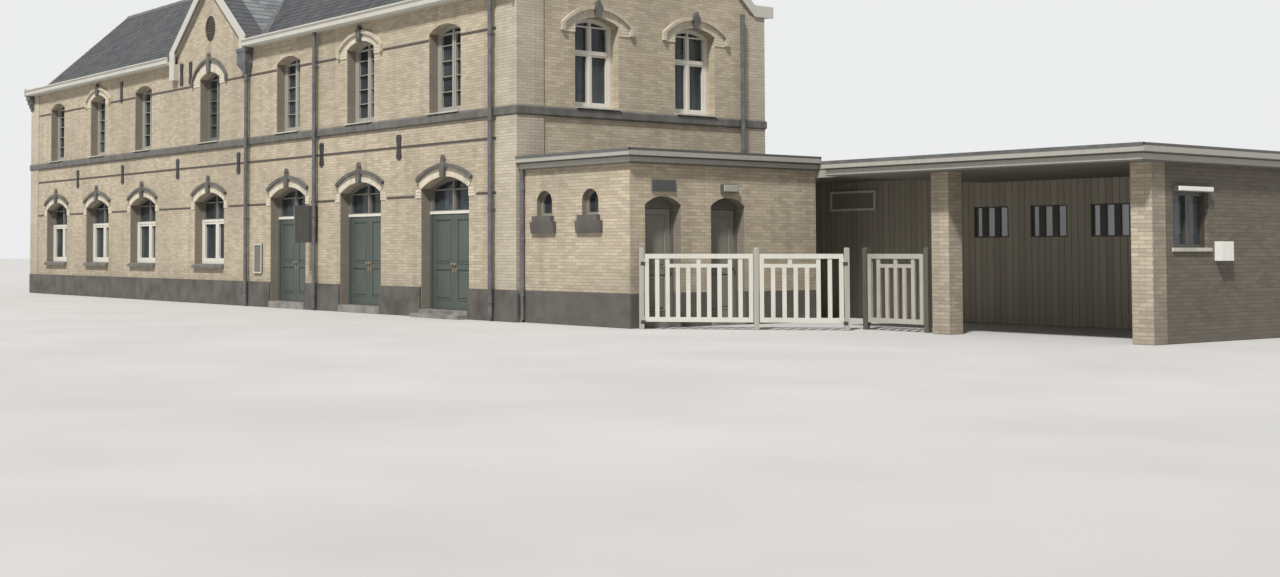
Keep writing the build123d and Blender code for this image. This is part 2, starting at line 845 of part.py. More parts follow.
def frame_hinges(height, face, length):
    """Lower knuckles with plates of the given length on a frame whose face lies at Y = face."""
    pieces = []
    for share in hinge_levels:
        level = height * share - knuckle_gap - knuckle_height
        plate = block(-length, 0, face, face + strap_thickness, level, level + knuckle_height)
        pieces.append(plate + knuckle(level))
    return pieces


def panelled_leaf(width, height, thickness):
    """Door leaf with the pin at the origin, the leaf along +X and opening towards +Y."""
    front = -pin_offset - thickness
    leaf = block(0, width, front, -pin_offset, 0, height)
    lock_rail = height * 0.42
    for low, high in [(stile_width * 1.6, lock_rail), (lock_rail + stile_width, height - stile_width)]:
        leaf -= block(stile_width, width - stile_width, front, front + panel_recess, low, high)
    return leaf + leaf_hinges(height)


# Front doors: two leaves each, opening inwards
door_clear = door_width - 2 * frame_width
leaf_width = (door_clear - 2 * leaf_gap - meeting_gap) / 2
leaf_height = transom_height - floor_gap - floor_top - floor_gap
leaf_bottom = floor_top + floor_gap
leaf_back = frame_back - leaf_gap
pin_line = leaf_back + pin_offset
door_leaf = panelled_leaf(leaf_width, leaf_height, leaf_thickness)
mirrored_leaf = mirror(door_leaf, about=Plane.YZ)
door_hinges = frame_hinges(leaf_height, frame_back - pin_line, strap_length)
door_names = ["left", "middle", "right"]
hinges = []
jambs = []
for name, bay in zip(door_names, door_bays):
    left_pin = bay - door_clear / 2 + leaf_gap
    right_pin = bay + door_clear / 2 - leaf_gap
    nodes[f"{name}_door_leaf_a"] = Pos(left_pin, pin_line, leaf_bottom) * door_leaf
    nodes[f"{name}_door_leaf_b"] = Pos(right_pin, pin_line, leaf_bottom) * mirrored_leaf
    for piece in door_hinges:
        hinges.append(Pos(left_pin, pin_line, leaf_bottom) * piece)
        hinges.append(Pos(right_pin, pin_line, leaf_bottom) * mirror(piece, about=Plane.YZ))
    jamb_top = transom_height - mortar_joint / 2
    for start in [bay - door_width / 2, bay + door_width / 2 - frame_width]:
        jambs.append(block(start, start + frame_width, reveal, frame_back, floor_top, jamb_top))

# Rear doors, closed, and the stone steps in the doorways
rear_door_set = []
for bay in door_bays:
    rear_door = block(bay - door_width / 2, bay + door_width / 2,
                      main_depth - frame_back, main_depth - reveal, floor_top, transom_height)
    for sign in [-1, 1]:
        middle = bay + sign * door_width / 4
        half = door_width / 4 - stile_width
        rear_door -= block(middle - half, middle + half, main_depth - reveal - panel_recess,
                           main_depth - reveal, floor_top + stile_width * 2,
                           transom_height - stile_width)
    rear_door_set.append(rear_door)
nodes["rear_doors"] = group(rear_door_set)

steps = []
for bay in door_bays:
    left = bay - door_width / 2
    right = bay + door_width / 2
    step = block(left, right, -step_projection, wall, 0, floor_top)
    if bay == door_bays[2]:
        step += block(left, right, -wide_step_projection, 0, 0, wide_step_height)
    steps.append(step)
    steps.append(block(left, right, inner_back, main_depth + step_projection, 0, floor_top))
for place in annex_door_places:
    steps.append(block(annex_length - annex_wall, annex_length, place - annex_door_width / 2,
                       place + annex_door_width / 2, 0, annex_floor_top))
nodes["door_steps"] = group(steps)

# Annex walls
annex_front = block(0, annex_length, annex_setback, annex_setback + annex_wall, 0, annex_soffit)
for place in annex_window_places:
    cut = arched(place, annex_window_width, annex_window_sill, annex_window_springing,
                 annex_window_rise - 1)
    annex_front -= across(cut, annex_setback, annex_setback + annex_wall)
annex_rear = block(0, annex_length, annex_back - annex_wall, annex_back, 0, annex_soffit)
nodes["annex_end_walls"] = group([annex_front, annex_rear])

side_left = annex_length - annex_wall
side_start = annex_setback + annex_wall
side_end = annex_back - annex_wall
half_door = annex_door_width / 2
side_edges = [side_start]
for place in annex_door_places:
    side_edges += [place - half_door, place + half_door]
side_edges.append(side_end)
nodes["annex_side_piers"] = group([
    block(side_left, annex_length, side_edges[index], side_edges[index + 1], 0, annex_door_springing)
    for index in [0, 2, 4]
])
side_head = block(side_left, annex_length, side_start, side_end, annex_door_springing, annex_soffit)
for place in annex_door_places:
    cut = arched(place, annex_door_width, 0, annex_door_springing, annex_door_rise)
    side_head -= along(cut, side_left, annex_length)
nodes["annex_side_head"] = side_head

annex_low = block(0, annex_length + annex_overhang, annex_setback - annex_overhang,
                  annex_back, annex_soffit, annex_soffit + annex_fascia)
annex_high = block(0, annex_length + annex_overhang + annex_step,
                   annex_setback - annex_overhang - annex_step, annex_back,
                   annex_soffit + annex_fascia, annex_top)
nodes["annex_roof"] = annex_low + annex_high

box_face = polygon(
    (annex_setback - annex_box_projection, annex_box_top),
    (annex_setback, annex_box_top),
    (annex_setback, annex_box_top - annex_box_height),
    (annex_setback - annex_box_projection * 0.7, annex_box_top - annex_box_height),
)
annex_boxes = []
for place in annex_window_places:
    box = along(box_face, place - annex_box_width / 2, place + annex_box_width / 2)
    sill = block(place - annex_window_width / 2 - bar_width, place + annex_window_width / 2 + bar_width,
                 annex_setback - annex_box_projection, annex_setback, annex_box_top,
                 annex_window_sill - mortar_joint)
    annex_boxes.append(box + sill)
nodes["annex_window_boxes"] = group(annex_boxes)

# Annex doors, opening inwards
annex_leaf_width = annex_door_width - 2 * annex_jamb - 2 * leaf_gap - leaf_gap
annex_leaf_bottom = annex_floor_top + floor_gap
annex_leaf_height = annex_leaf_top - floor_gap - annex_leaf_bottom
annex_frame_back = side_left + annex_leaf_thickness + 2 * leaf_gap
annex_pin_x = side_left + 2 * leaf_gap - pin_offset
annex_leaf = panelled_leaf(annex_leaf_width, annex_leaf_height, annex_leaf_thickness)
annex_hinges = frame_hinges(annex_leaf_height, leaf_gap - pin_offset, annex_jamb)
annex_frames = []
for index, place in enumerate(annex_door_places):
    turn = Pos(annex_pin_x, place - half_door + annex_jamb + leaf_gap, annex_leaf_bottom) * Rot(0, 0, 90)
    nodes[f"annex_door_leaf_{'ab'[index]}"] = turn * annex_leaf
    for piece in annex_hinges:
        hinges.append(turn * piece)
    frame_left = side_left + leaf_gap
    for start in [place - half_door, place + half_door - annex_jamb]:
        annex_frames.append(block(frame_left, frame_left + frame_depth, start, start + annex_jamb,
                                  annex_floor_top, annex_leaf_top - mortar_joint))
    head = arched(place, annex_door_width, annex_leaf_top, annex_door_springing, annex_door_rise)
    annex_frames.append(along(head, frame_left, frame_left + frame_depth))
nodes["door_frames"] = group(jambs + annex_frames)

# Timber gates: posts, rails and pales
gate_turn = Pos(gate_start[0], gate_start[1], 0) * Rot(0, 0, gate_angle)
half_post = gate_post / 2
post_body = block(-half_post, half_post, -half_post, half_post, 0, gate_post_height)
post_body = chamfer(post_body.faces().sort_by(Axis.Z)[-1].edges(), half_post / 3)
posts = [gate_turn * Pos(place, 0, 0) * post_body for place in gate_post_places]
small_post_places = [small_gate_left - half_post - gate_clearance,
                     small_gate_right + half_post + gate_clearance]
posts += [Pos(place, small_gate_line, 0) * post_body for place in small_post_places]
nodes["gate_posts"] = group(posts)
gate_hinge_levels = [gate_bottom + 25, gate_height - gate_rail - 60]
pin_post_offset = gate_rail_thickness / 2 + pin_offset


def gate_leaf(length, gaps, slot_start, slot_end):
    """Gate leaf with the pin at the origin, running along +X and opening towards +Y.

    gaps is the number of spaces between pales; the second rail runs from gap
    slot_start to gap slot_end and leaves a slot under the top rail.
    """
    back = -pin_offset
    front = back - gate_rail_thickness
    middle = (back + front) / 2
    pale_front = middle - gate_pale_thickness / 2
    pale_back = middle + gate_pale_thickness / 2
    body = block(0, length, front, back, gate_bottom, gate_bottom + gate_rail)
    body += block(0, length, front, back, gate_height - gate_rail, gate_height)
    pitch = (length - gate_pale) / gaps
    slot_floor = gate_height - gate_rail - gate_slot
    for index in range(gaps + 1):
        start = index * pitch
        short = slot_start < index < slot_end
        top = slot_floor if short else gate_height - gate_rail
        end_post = index in (0, gaps)
        near = front if end_post else pale_front
        far = back if end_post else pale_back
        body += block(start, start + gate_pale, near, far, gate_bottom + gate_rail, top)
    second_start = slot_start * pitch
    second_end = slot_end * pitch + gate_pale
    body += block(second_start, second_end, pale_front, pale_back,
                  slot_floor - gate_second_rail, slot_floor)
    block_centre = (second_start + second_end) / 2
    body += block(block_centre - gate_pale / 2, block_centre + gate_pale / 2, pale_front, pale_back,
                  slot_floor, gate_height - gate_rail)
    for level in gate_hinge_levels:
        strap = block(0, gate_strap, back, back + strap_thickness, level, level + knuckle_height)
        link = block(-pin_radius * 0.5, pin_radius * 0.5, back, 0, level, level + knuckle_height)
        body += strap + link + knuckle(level)
    return body


def gate_hinge_set():
    """Lower knuckles on the post beside the pin, with the post face at X = -gate_clearance."""
    pieces = []
    for level in gate_hinge_levels:
        low = level - knuckle_gap - knuckle_height
        plate = block(-gate_clearance - strap_length, 0, half_post - pin_post_offset,
                      half_post - pin_post_offset + strap_thickness, low, low + knuckle_height)
        pieces.append(plate + knuckle(low))
    return pieces


first_length = gate_post_places[1] - gate_post_places[0] - gate_post - 2 * gate_clearance
second_length = gate_post_places[2] - gate_post_places[1] - gate_post - 2 * gate_clearance
small_length = small_gate_right - small_gate_left - gate_clearance
first_leaf = mirror(gate_leaf(first_length, 10, 2, 8), about=Plane.XZ)
second_leaf = gate_leaf(second_length, 7, 2, 7)
small_leaf = gate_leaf(small_length, 6, 1, 5)
first_turn = gate_turn * Pos(half_post + gate_clearance, -pin_post_offset, 0)
second_turn = gate_turn * Pos(gate_post_places[2] - half_post - gate_clearance,
                              -pin_post_offset, 0) * Rot(0, 0, 180)
small_turn = Pos(small_gate_left, small_gate_line + pin_post_offset, 0)
nodes["large_gate_leaf"] = first_turn * first_leaf
nodes["middle_gate_leaf"] = second_turn * second_leaf
nodes["small_gate_leaf"] = small_turn * small_leaf
for piece in gate_hinge_set():
    hinges.append(first_turn * mirror(piece, about=Plane.XZ))
    hinges.append(second_turn * piece)
    hinges.append(small_turn * piece)
nodes["hinges"] = group(hinges)

# Shelter and passage
low_roof = block(shelter_left + shelter_step, shelter_right - shelter_step,
                 shelter_front + shelter_step, roof_back - shelter_step,
                 shelter_soffit, shelter_soffit + shelter_fascia)
high_roof = block(shelter_left, shelter_right, shelter_front, roof_back,
                  shelter_soffit + shelter_fascia, shelter_top)
nodes["shelter_roof"] = low_roof + high_roof
nodes["passage_roof"] = group([
    block(0, shelter_left, annex_back, roof_back, shelter_soffit + shelter_fascia,
          shelter_top) - block(-main_length, 0, 0, main_depth, 0, ridge_height)
])
nodes["shelter_piers"] = group([
    block(x, x + pier_size, y, y + pier_size, 0, shelter_soffit) for x, y in pier_places
])
side_wall = block(side_wall_left, side_wall_right, pier_places[1][1] + pier_size, screen_front,
                  0, shelter_soffit)
side_wall -= along(side_face, side_wall_left, side_wall_right)
nodes["shelter_side_wall"] = side_wall
screen = block(screen_left, side_wall_right, screen_front, screen_front + screen_thickness,
               0, shelter_soffit)
for place in strip_places:
    screen -= Pos(place, 0, 0) * across(strip_face, screen_front, screen_front + screen_thickness)
screen += block(screen_left, shelter_left + shelter_step, screen_front,
                screen_front + screen_thickness, shelter_soffit, shelter_soffit + shelter_fascia)
nodes["screen_wall"] = screen

# Boards, lamps and boxes
poster_left = centre + poster_place - poster_size[0] / 2
poster = block(poster_left, poster_left + poster_size[0], -board_body, 0,
               poster_foot, poster_foot + poster_size[1])
wing_left = centre + wing_board_place - board_body / 2
wing_board = block(wing_left, wing_left + board_body, -wing_board_size[0], 0,
                   wing_board_foot, wing_board_foot + wing_board_size[1])
plate_front = annex_door_places[0] - annex_plate_size[0] / 2
annex_plate = block(annex_length, annex_length + board_body, plate_front,
                    plate_front + annex_plate_size[0], annex_plate_foot,
                    annex_plate_foot + annex_plate_size[1])
lamp_front = annex_door_places[1] - annex_lamp_size[0] / 2
annex_lamp = block(annex_length, annex_length + lamp_body, lamp_front,
                   lamp_front + annex_lamp_size[0], annex_lamp_foot,
                   annex_lamp_foot + annex_lamp_size[1])
passage_sign = block(passage_sign_left, passage_sign_left + passage_sign_size[0],
                     screen_front - board_body, screen_front, passage_sign_foot,
                     passage_sign_foot + passage_sign_size[1])
shelter_lamp = block(side_wall_right, side_wall_right + lamp_body, side_window_front,
                     side_window_back, side_window_top + mortar_joint,
                     side_window_top + mortar_joint + shelter_lamp_height)
letter_box = block(side_wall_right, side_wall_right + letter_box_body, letter_box_place,
                   letter_box_place + letter_box_size[0], letter_box_foot,
                   letter_box_foot + letter_box_size[1])
nodes["wall_fittings"] = group([
    poster, wing_board, annex_plate, annex_lamp, passage_sign, shelter_lamp, letter_box
])

os.makedirs("parts", exist_ok=True)
for name, shape in nodes.items():
    export_step(shape, f"parts/{name}.step")
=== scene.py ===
import math
import random

import bpy
from mathutils import Matrix, Vector


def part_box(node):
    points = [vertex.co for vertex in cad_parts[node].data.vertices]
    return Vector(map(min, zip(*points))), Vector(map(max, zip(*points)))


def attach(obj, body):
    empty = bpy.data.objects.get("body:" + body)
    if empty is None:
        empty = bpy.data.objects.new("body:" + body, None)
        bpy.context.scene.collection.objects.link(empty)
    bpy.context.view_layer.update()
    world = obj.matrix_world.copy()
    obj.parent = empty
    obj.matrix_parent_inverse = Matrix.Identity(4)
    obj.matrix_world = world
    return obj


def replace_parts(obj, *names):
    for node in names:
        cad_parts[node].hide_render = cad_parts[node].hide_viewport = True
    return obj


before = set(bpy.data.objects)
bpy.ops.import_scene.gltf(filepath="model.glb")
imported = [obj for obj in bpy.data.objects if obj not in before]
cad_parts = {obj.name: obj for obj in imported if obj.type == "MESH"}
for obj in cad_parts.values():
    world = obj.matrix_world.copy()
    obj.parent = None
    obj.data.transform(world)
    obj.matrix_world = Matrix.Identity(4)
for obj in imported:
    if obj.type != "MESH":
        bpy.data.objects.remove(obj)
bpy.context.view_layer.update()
random.seed(7)

# Sizes, in metres
LENGTH = 26.9
DEPTH = 6.9
WALL = 0.35
CENTRE = -13.55
BAYS = [CENTRE + offset for offset in (-11.04, -7.67, -4.3, 0.0, 4.3, 7.67, 11.04)]
WINDOW_BAYS = BAYS[:4]
DOOR_BAYS = BAYS[4:]
HOODED = [BAYS[1], BAYS[3], BAYS[5]]
END_WINDOWS = [DEPTH / 2 - 1.38, DEPTH / 2 + 1.38]
OPENING = dict(width=1.76, foot=1.06, springing=2.72, rise=0.25)
WINDOW = dict(width=1.17, foot=4.34, springing=6.04, rise=0.16)
TRANSOM = 2.19
UPPER_TRANSOM = 5.48
REVEAL = 0.23
FRAME_WIDTH = 0.08
BAR = 0.05
THIN_BAR = 0.008
UPPER_BARS = (0.228, 0.432, 0.636, 0.84)
UPPER_SASH = 0.042
GROUND_SASH = 0.065
FAN_SASH = 0.03
SASH_FRONT = REVEAL + 0.014
SASH_BACK = REVEAL + FRAME_WIDTH - 0.004
LEAF = 0.787
ANNEX_LEAF = 0.785
KNOB_EDGE = 0.05
KNOB_LEVEL = 0.95
PILASTER = 0.65
WALL_TOP = 6.6
ROOF_FOOT = 0.3
GUTTER_FOOT = 6.64
GUTTER_TOP = 6.815
RIDGE = 9.6
GABLE_HALF = 2.25
GABLE_RISE = 1.9
GABLE_TOP = 8.8
MAIN_SLOPE = (RIDGE - GUTTER_TOP) / (DEPTH / 2 - ROOF_FOOT)
GABLE_SLOPE = GABLE_RISE / GABLE_HALF
GABLE_EAVES = 0.11
EAVES = 0.24
VERGE = 0.03
RIDGE_TILE = 0.11
RIDGE_CREST = 0.045
RIDGE_PITCH = 0.36
RIDGE_LAP = 0.02
VALLEY_LEAD = 0.16
VALLEY_CLEAR = 1.02
SLATE_GAUGE = 0.19
SLATE_WIDTH = 0.25
SLATE_GAP = 0.002
SLATE_BUTT = 0.016
SLATE_TAPER = 0.011
SPREAD = 0.29
CROWN = 0.16
GABLE_SPREAD = 0.38
GABLE_CROWN = 0.3
LABEL = 0.08
LABEL_RELIEF = 0.07
BRICK_LENGTH = 0.22
COURSE = 0.0625
JOINT = 0.009
ARCH_DEPTH = 0.19
ARCH_LEG = 0.2
ARCH_PITCH = 0.075
ARCH_JOINT = 0.007
ARCH_RELIEF = 0.016
FAN_COUNT = 22
FAN_JOINT = 0.045
KEY_GAP = 0.07
BAND = 0.055
BAND_RELIEF = 0.006
BAND_CLEAR = 0.25
IMPOST_BAND = 2.545
FLOOR_BAND = 3.645
HOOD_BAND = 5.87
CORBEL = 0.3
CORBEL_OVER = 0.06
CORBEL_STEPS = ((6.1, 6.2, 0.05), (6.2, 6.32, 0.1), (6.32, 6.46, 0.16), (6.46, WALL_TOP, 0.21))
PIPE_DEPTH = 0.125
PIPE_EDGE = 0.73
GABLE_PIPE = CENTRE + GABLE_HALF + 0.065
MIDDLE_PIPE = CENTRE + 5.78
COLLAR_LEVELS = (0.35, 2.2, 4.02, 5.75)
ANNEX_COLLAR_LEVELS = (0.5, 1.6, 2.6)
VENT_LEVEL = 7.37
VENT_RADIUS = 0.35
ANNEX_SIDE = 3.2
ANNEX_FRONT = 0.12
ANNEX_WALL = 0.3
ANNEX_FASCIA = (3.0, 3.125, 3.25)
SHELTER_FASCIA = (2.73, 2.855, 2.98)
ROOF_SPLIT = 5.0
ROOF_EDGE = 0.03
ROOF_EDGE_OVER = 0.012
ROOF_EDGE_TOP = 0.018
PASSAGE_FRONT = 5.021
KERB = 0.039
KERB_LEVELS = (2.979, 3.13)
SHELTER_LEFT = 5.5
SHELTER_FACE = 11.45
LAMP_REACH = 0.09
BOARD_WIDTH = 0.14
BOARD_LENGTH = 6.0
BOARD_GROOVE = 0.012
FLOOR_REACH = 260

# Boards, lamps and the side sill: two ends along the wall, foot and head
NOTICE = (-10.9, -10.56, 0.9, 1.52)
NOTICE_FRAME = (-10.94, -10.52, 0.84, 1.58)
NOTICE_FACE = -0.04
PASSAGE_BOARD = (1.69, 2.91, 2.25, 2.67)
PASSAGE_BOARD_FACE = 7.16
ANNEX_LAMP = (2.4, 2.78, 2.52, 2.65)
SHELTER_LAMP = (3.72, 4.68, 2.312, 2.382)
SIDE_SILL = (3.66, 4.74, 1.39, 1.45)
REAR_PANELS = ((0.42, 1.02), (1.12, 2.04))

# Wall anchors of the front: middle, level and height
ANCHORS = [(CENTRE + offset, 3.68, 0.55) for offset in (9.3, 5.95, 1.7, -1.95, -5.75, -9.25)]
ANCHORS += [(CENTRE - 5.87, 6.15, 0.62), (CENTRE - 1.73, 6.29, 0.62), (CENTRE - 1.17, 6.29, 0.62)]

# Zones where one finish gives way to another, as ranges of x, y and z
UPSTAIRS_FRONT = dict(x=(None, -0.5), y=(None, 0.5), z=(4.2, None))
# Painted shade: window frames above the front transoms are darkened where the arch heads shade them.
SHADED_FRONT_FANLIGHTS = dict(x=(None, -0.5), y=(None, 0.5), z=(TRANSOM + 0.06, 3.4))
GABLE_WINDOW = dict(x=(CENTRE - 0.8, CENTRE + 0.8), y=(None, 0.5), z=(4.2, None))
ANNEX_WINDOWS = dict(x=(0.2, 3.0), y=(None, 1.0))
ANNEX_DOORS = dict(x=(1.0, None))
SCREEN = dict(y=(7.1, None))
SHELTER_WINDOW = dict(x=(11.0, None))
SMALL_GATE = dict(y=(3.2, None))
LETTER_BOX = dict(x=(11.2, None), z=(None, 1.7))
GROUND_SILLS = dict(x=(None, 3.0), z=(None, 2.0))
UPPER_LABELS = dict(z=(5.8, None))
GABLE_HOOD = dict(x=(CENTRE - 1.3, CENTRE + 1.3))
KEYSTONES = [dict(x=(bay - 0.118, bay + 0.118)) for bay in (BAYS[1], BAYS[5])]
KEYSTONES += [dict(y=(middle - 0.118, middle + 0.118)) for middle in END_WINDOWS]
SKIN = 0.012
PLASTER_SKIN = 0.004


# Materials
def rgb(red, green, blue):
    """Linear colour from the usual 0 to 255 numbers."""
    linear = []
    for value in (red, green, blue):
        value /= 255
        linear.append(value / 12.92 if value <= 0.04045 else ((value + 0.055) / 1.055) ** 2.4)
    return (*linear, 1.0)


class Finish:
    """A procedural material built node by node round one Principled shader."""

    def __init__(self, name, roughness, **fixed):
        self.material = bpy.data.materials.new(name)
        self.material.use_nodes = True
        self.tree = self.material.node_tree
        self.shader = self.tree.nodes["Principled BSDF"]
        self.shader.inputs["Roughness"].default_value = roughness
        for socket, value in fixed.items():
            self.shader.inputs[socket.replace("_", " ")].default_value = value
        self.coords = self.node("ShaderNodeTexCoord")
        self.place = self.coords.outputs["Object"]
        split = self.node("ShaderNodeSeparateXYZ", Vector=self.place)
        self.x, self.y, self.z = split.outputs
        facing = self.node("ShaderNodeSeparateXYZ", Vector=self.coords.outputs["Normal"])
        self.nx = self.math("ABSOLUTE", facing.outputs[0])
        self.nz = facing.outputs[2]

    def put(self, socket, value):
        """Link another node's output to the socket, or set a plain value."""
        if isinstance(value, bpy.types.NodeSocket):
            self.tree.links.new(value, socket)
        else:
            socket.default_value = value

    def node(self, kind, settings=None, **inputs):
        made = self.tree.nodes.new(kind)
        for key, value in (settings or {}).items():
            setattr(made, key, value)
        for key, value in inputs.items():
            self.put(made.inputs[key.replace("_", " ")], value)
        return made

    def math(self, operation, first, second=0.0):
        made = self.node("ShaderNodeMath", dict(operation=operation))
        self.put(made.inputs[0], first)
        self.put(made.inputs[1], second)
        return made.outputs[0]

    def blend(self, share, first, second):
        """First where share is nought, second where it is one."""
        made = self.node("ShaderNodeMix", dict(data_type="RGBA"))
        self.put(made.inputs[0], share)
        self.put(made.inputs[6], first)
        self.put(made.inputs[7], second)
        return made.outputs[2]

    def within(self, **ranges):
        """One inside every range and nought elsewhere; None leaves an end open."""
        share = 1.0
        for axis, ends in ranges.items():
            for kind, limit in zip(("GREATER_THAN", "LESS_THAN"), ends):
                if limit is not None:
                    share = self.math("MULTIPLY", share, self.math(kind, getattr(self, axis), limit))
        return share

    def tint(self, body, tone, strength=1.0, **ranges):
        """The body with a tone laid over it inside the ranges."""
        return self.blend(self.math("MULTIPLY", self.within(**ranges), strength), body, tone)

    def noise(self, scale, detail=4.0, stretch=(1, 1, 1)):
        place = self.node("ShaderNodeVectorMath", dict(operation="MULTIPLY"))
        self.put(place.inputs[0], self.place)
        place.inputs[1].default_value = stretch
        made = self.node("ShaderNodeTexNoise", Vector=place.outputs[0], Scale=scale, Detail=detail)
        return made.outputs[0]

    def spread(self, value, low, high, to_low=0.0, to_high=1.0):
        """The range from low to high stretched to another one and cut off at its ends."""
        made = self.node("ShaderNodeMapRange", dict(clamp=True))
        for index, number in enumerate((value, low, high, to_low, to_high)):
            self.put(made.inputs[index], number)
        return made.outputs[0]

    def bump(self, height, distance, strength=1.0):
        made = self.node("ShaderNodeBump", Height=height, Distance=distance, Strength=strength)
        self.tree.links.new(made.outputs[0], self.shader.inputs["Normal"])

    def brushed(self, wear):
        """Share of worn paint, along upright brush marks."""
        return self.spread(self.noise(3.0, 6.0, (9.0, 9.0, 0.5)), 0.3, 0.75, 0.0, wear)

    def timber_grain(self):
        """Fine upright relief of painted timber."""
        self.bump(self.noise(14.0, 5.0, (6.0, 6.0, 0.6)), 0.0012, 0.5)

    def colour(self, value):
        self.put(self.shader.inputs["Base Color"], value)
        return self.material


def flat_map(finish):
    """Coordinates that run along a wall and up it, or over a floor."""
    side = finish.math("GREATER_THAN", finish.nx, 0.5)
    level = finish.math("GREATER_THAN", finish.math("ABSOLUTE", finish.nz), 0.5)
    joined = finish.node("ShaderNodeCombineXYZ")
    for socket, plain, share in ((0, finish.x, side), (1, finish.z, level)):
        step = finish.math("MULTIPLY", finish.math("SUBTRACT", finish.y, plain), share)
        finish.put(joined.inputs[socket], finish.math("ADD", plain, step))
    return joined.outputs[0]


def bonded(finish, first, second, mortar, width, height, joint, offset=0.5):
    """Brick pattern in real sizes."""
    pattern = finish.node(
        "ShaderNodeTexBrick", dict(offset=offset), Vector=flat_map(finish), Color1=first,
        Color2=second, Mortar=mortar, Scale=1.0, Mortar_Size=joint / 2, Mortar_Smooth=0.2,
        Bias=0.0, Brick_Width=width, Row_Height=height)
    return pattern.outputs["Color"], pattern.outputs["Fac"]


def brickwork(name, first, second, mortar, tarred=0.0, plastered=False):
    """Brick with stains, reveals darkened as painted shade, painted shade on the faces towards +X past the
    shelter front and, where asked, a tarred foot or plastered rooms.
    """
    finish = Finish(name, 0.88)
    bricks, joints = bonded(finish, first, second, mortar, BRICK_LENGTH, COURSE, JOINT)
    patches = finish.spread(finish.noise(0.45, 5.0), 0.38, 0.72, 0.0, 0.42)
    body = finish.blend(patches, bricks, rgb(132, 122, 108))
    streaks = finish.spread(finish.noise(1.0, 6.0, (2.6, 2.6, 0.18)), 0.5, 0.78, 0.0, 0.35)
    body = finish.blend(streaks, body, rgb(104, 97, 88))
    # Painted shade: faces towards +X past the shelter front, the right pier's side and the side wall, are
    # darkened.
    body = finish.tint(body, rgb(84, 79, 71), 0.4, x=(SHELTER_FACE - 0.05, None), nx=(0.5, None))
    foot = finish.spread(finish.z, 0.5, 1.25, 0.4, 0.0)
    foot = finish.math("MULTIPLY", foot, finish.noise(3.0, 5.0))
    body = finish.blend(foot, body, rgb(80, 76, 70))
    # Painted shade: this tone darkens the reveals of the openings in the long walls and, on the annex, of
    # its windows and doorways.
    reveal_shade = rgb(104, 98, 89)
    side = WALL + 0.05
    for face in (0.0, DEPTH - WALL):
        body = finish.tint(body, reveal_shade, 0.75, x=(side - LENGTH, -side), nx=(0.5, None),
                           y=(face + SKIN, face + WALL - SKIN))
    if tarred:
        body = finish.tint(body, reveal_shade, 0.7, x=(None, ANNEX_SIDE - 0.1),
                           y=(ANNEX_FRONT + SKIN, ANNEX_FRONT + ANNEX_WALL - SKIN))
        body = finish.tint(body, reveal_shade, 0.7, y=(0.5, 4.7),
                           x=(ANNEX_SIDE - ANNEX_WALL + SKIN, ANNEX_SIDE - SKIN))
        edge = finish.math("ADD", tarred, finish.math("MULTIPLY", finish.noise(6.0, 3.0), 0.02))
        tar = finish.blend(finish.noise(4.0, 6.0), rgb(70, 66, 62), rgb(104, 99, 93))
        body = finish.tint(body, tar, z=(None, edge))
    if plastered:
        plaster = finish.blend(finish.noise(1.5, 5.0), rgb(196, 190, 174), rgb(172, 166, 150))
        body = finish.tint(body, plaster, y=(WALL - PLASTER_SKIN, DEPTH - WALL + PLASTER_SKIN),
                           x=(WALL - LENGTH - PLASTER_SKIN, PLASTER_SKIN - WALL))
    grain = finish.math("MULTIPLY", finish.noise(90.0, 3.0), 0.25)
    finish.bump(finish.math("SUBTRACT", grain, joints), 0.004, 0.7)
    return finish.colour(body)


def stonework(name, first, second, scale, roughness, relief=0.003):
    """Stone, cement or cast iron with clouds of two colours and a fine grain."""
    finish = Finish(name, roughness)
    clouds = finish.spread(finish.noise(scale, 8.0), 0.35, 0.68)
    body = finish.blend(clouds, first, second)
    streaks = finish.spread(finish.noise(1.4, 5.0, (3.0, 3.0, 0.3)), 0.52, 0.8, 0.0, 0.4)
    body = finish.blend(streaks, body, rgb(70, 68, 62))
    finish.bump(finish.noise(60.0, 5.0), relief, 0.6)
    return finish.colour(body)


def painted(name, tone, worn, roughness=0.42, wear=0.3):
    """Paint on timber with brush marks, dust and thin places."""
    finish = Finish(name, roughness)
    body = finish.blend(finish.brushed(wear), tone, worn)
    dust = finish.spread(finish.noise(1.7, 6.0), 0.48, 0.8, 0.0, wear)
    finish.timber_grain()
    return finish.colour(finish.blend(dust, body, worn))


def zoned(finish, share, tones, zones):
    """Two tones mixed by share, and in each zone two tones of its own."""
    body = finish.blend(share, *[rgb(*tone) for tone in tones])
    for ranges, own_tones in zones:
        body = finish.tint(body, finish.blend(share, *[rgb(*tone) for tone in own_tones]), **ranges)
    return body


def zoned_paint(name, roughness, wear, tones, *zones):
    """Brushed paint that changes from zone to zone."""
    finish = Finish(name, roughness)
    finish.timber_grain()
    return finish.colour(zoned(finish, finish.brushed(wear), tones, zones))


def zoned_stone(name, tones, *zones):
    """Clouded stone that changes from zone to zone."""
    finish = Finish(name, 0.7)
    clouds = finish.spread(finish.noise(5.0, 8.0), 0.35, 0.68)
    finish.bump(finish.noise(60.0, 5.0), 0.003, 0.6)
    return finish.colour(zoned(finish, clouds, tones, zones))


def slated(name, dark, light, verge=0.0):
    """Slates, each island of the mesh in its own tone, with lichen and a painted soffit.

    Where a verge is given, slates nearer the front than that are darker."""
    finish = Finish(name, 0.7)
    island = finish.node("ShaderNodeNewGeometry").outputs["Random Per Island"]
    body = finish.blend(island, dark, light)
    lichen = finish.spread(finish.noise(1.1, 8.0), 0.5, 0.78, 0.0, 0.3)
    body = finish.blend(lichen, body, rgb(104, 102, 92))
    if verge:
        body = finish.tint(body, rgb(58, 59, 62), 0.8, y=(None, verge))
    body = finish.tint(body, rgb(150, 147, 138), nz=(None, -0.2))
    finish.bump(finish.noise(38.0, 6.0, (1.0, 0.25, 0.25)), 0.003, 0.6)
    return finish.colour(body)


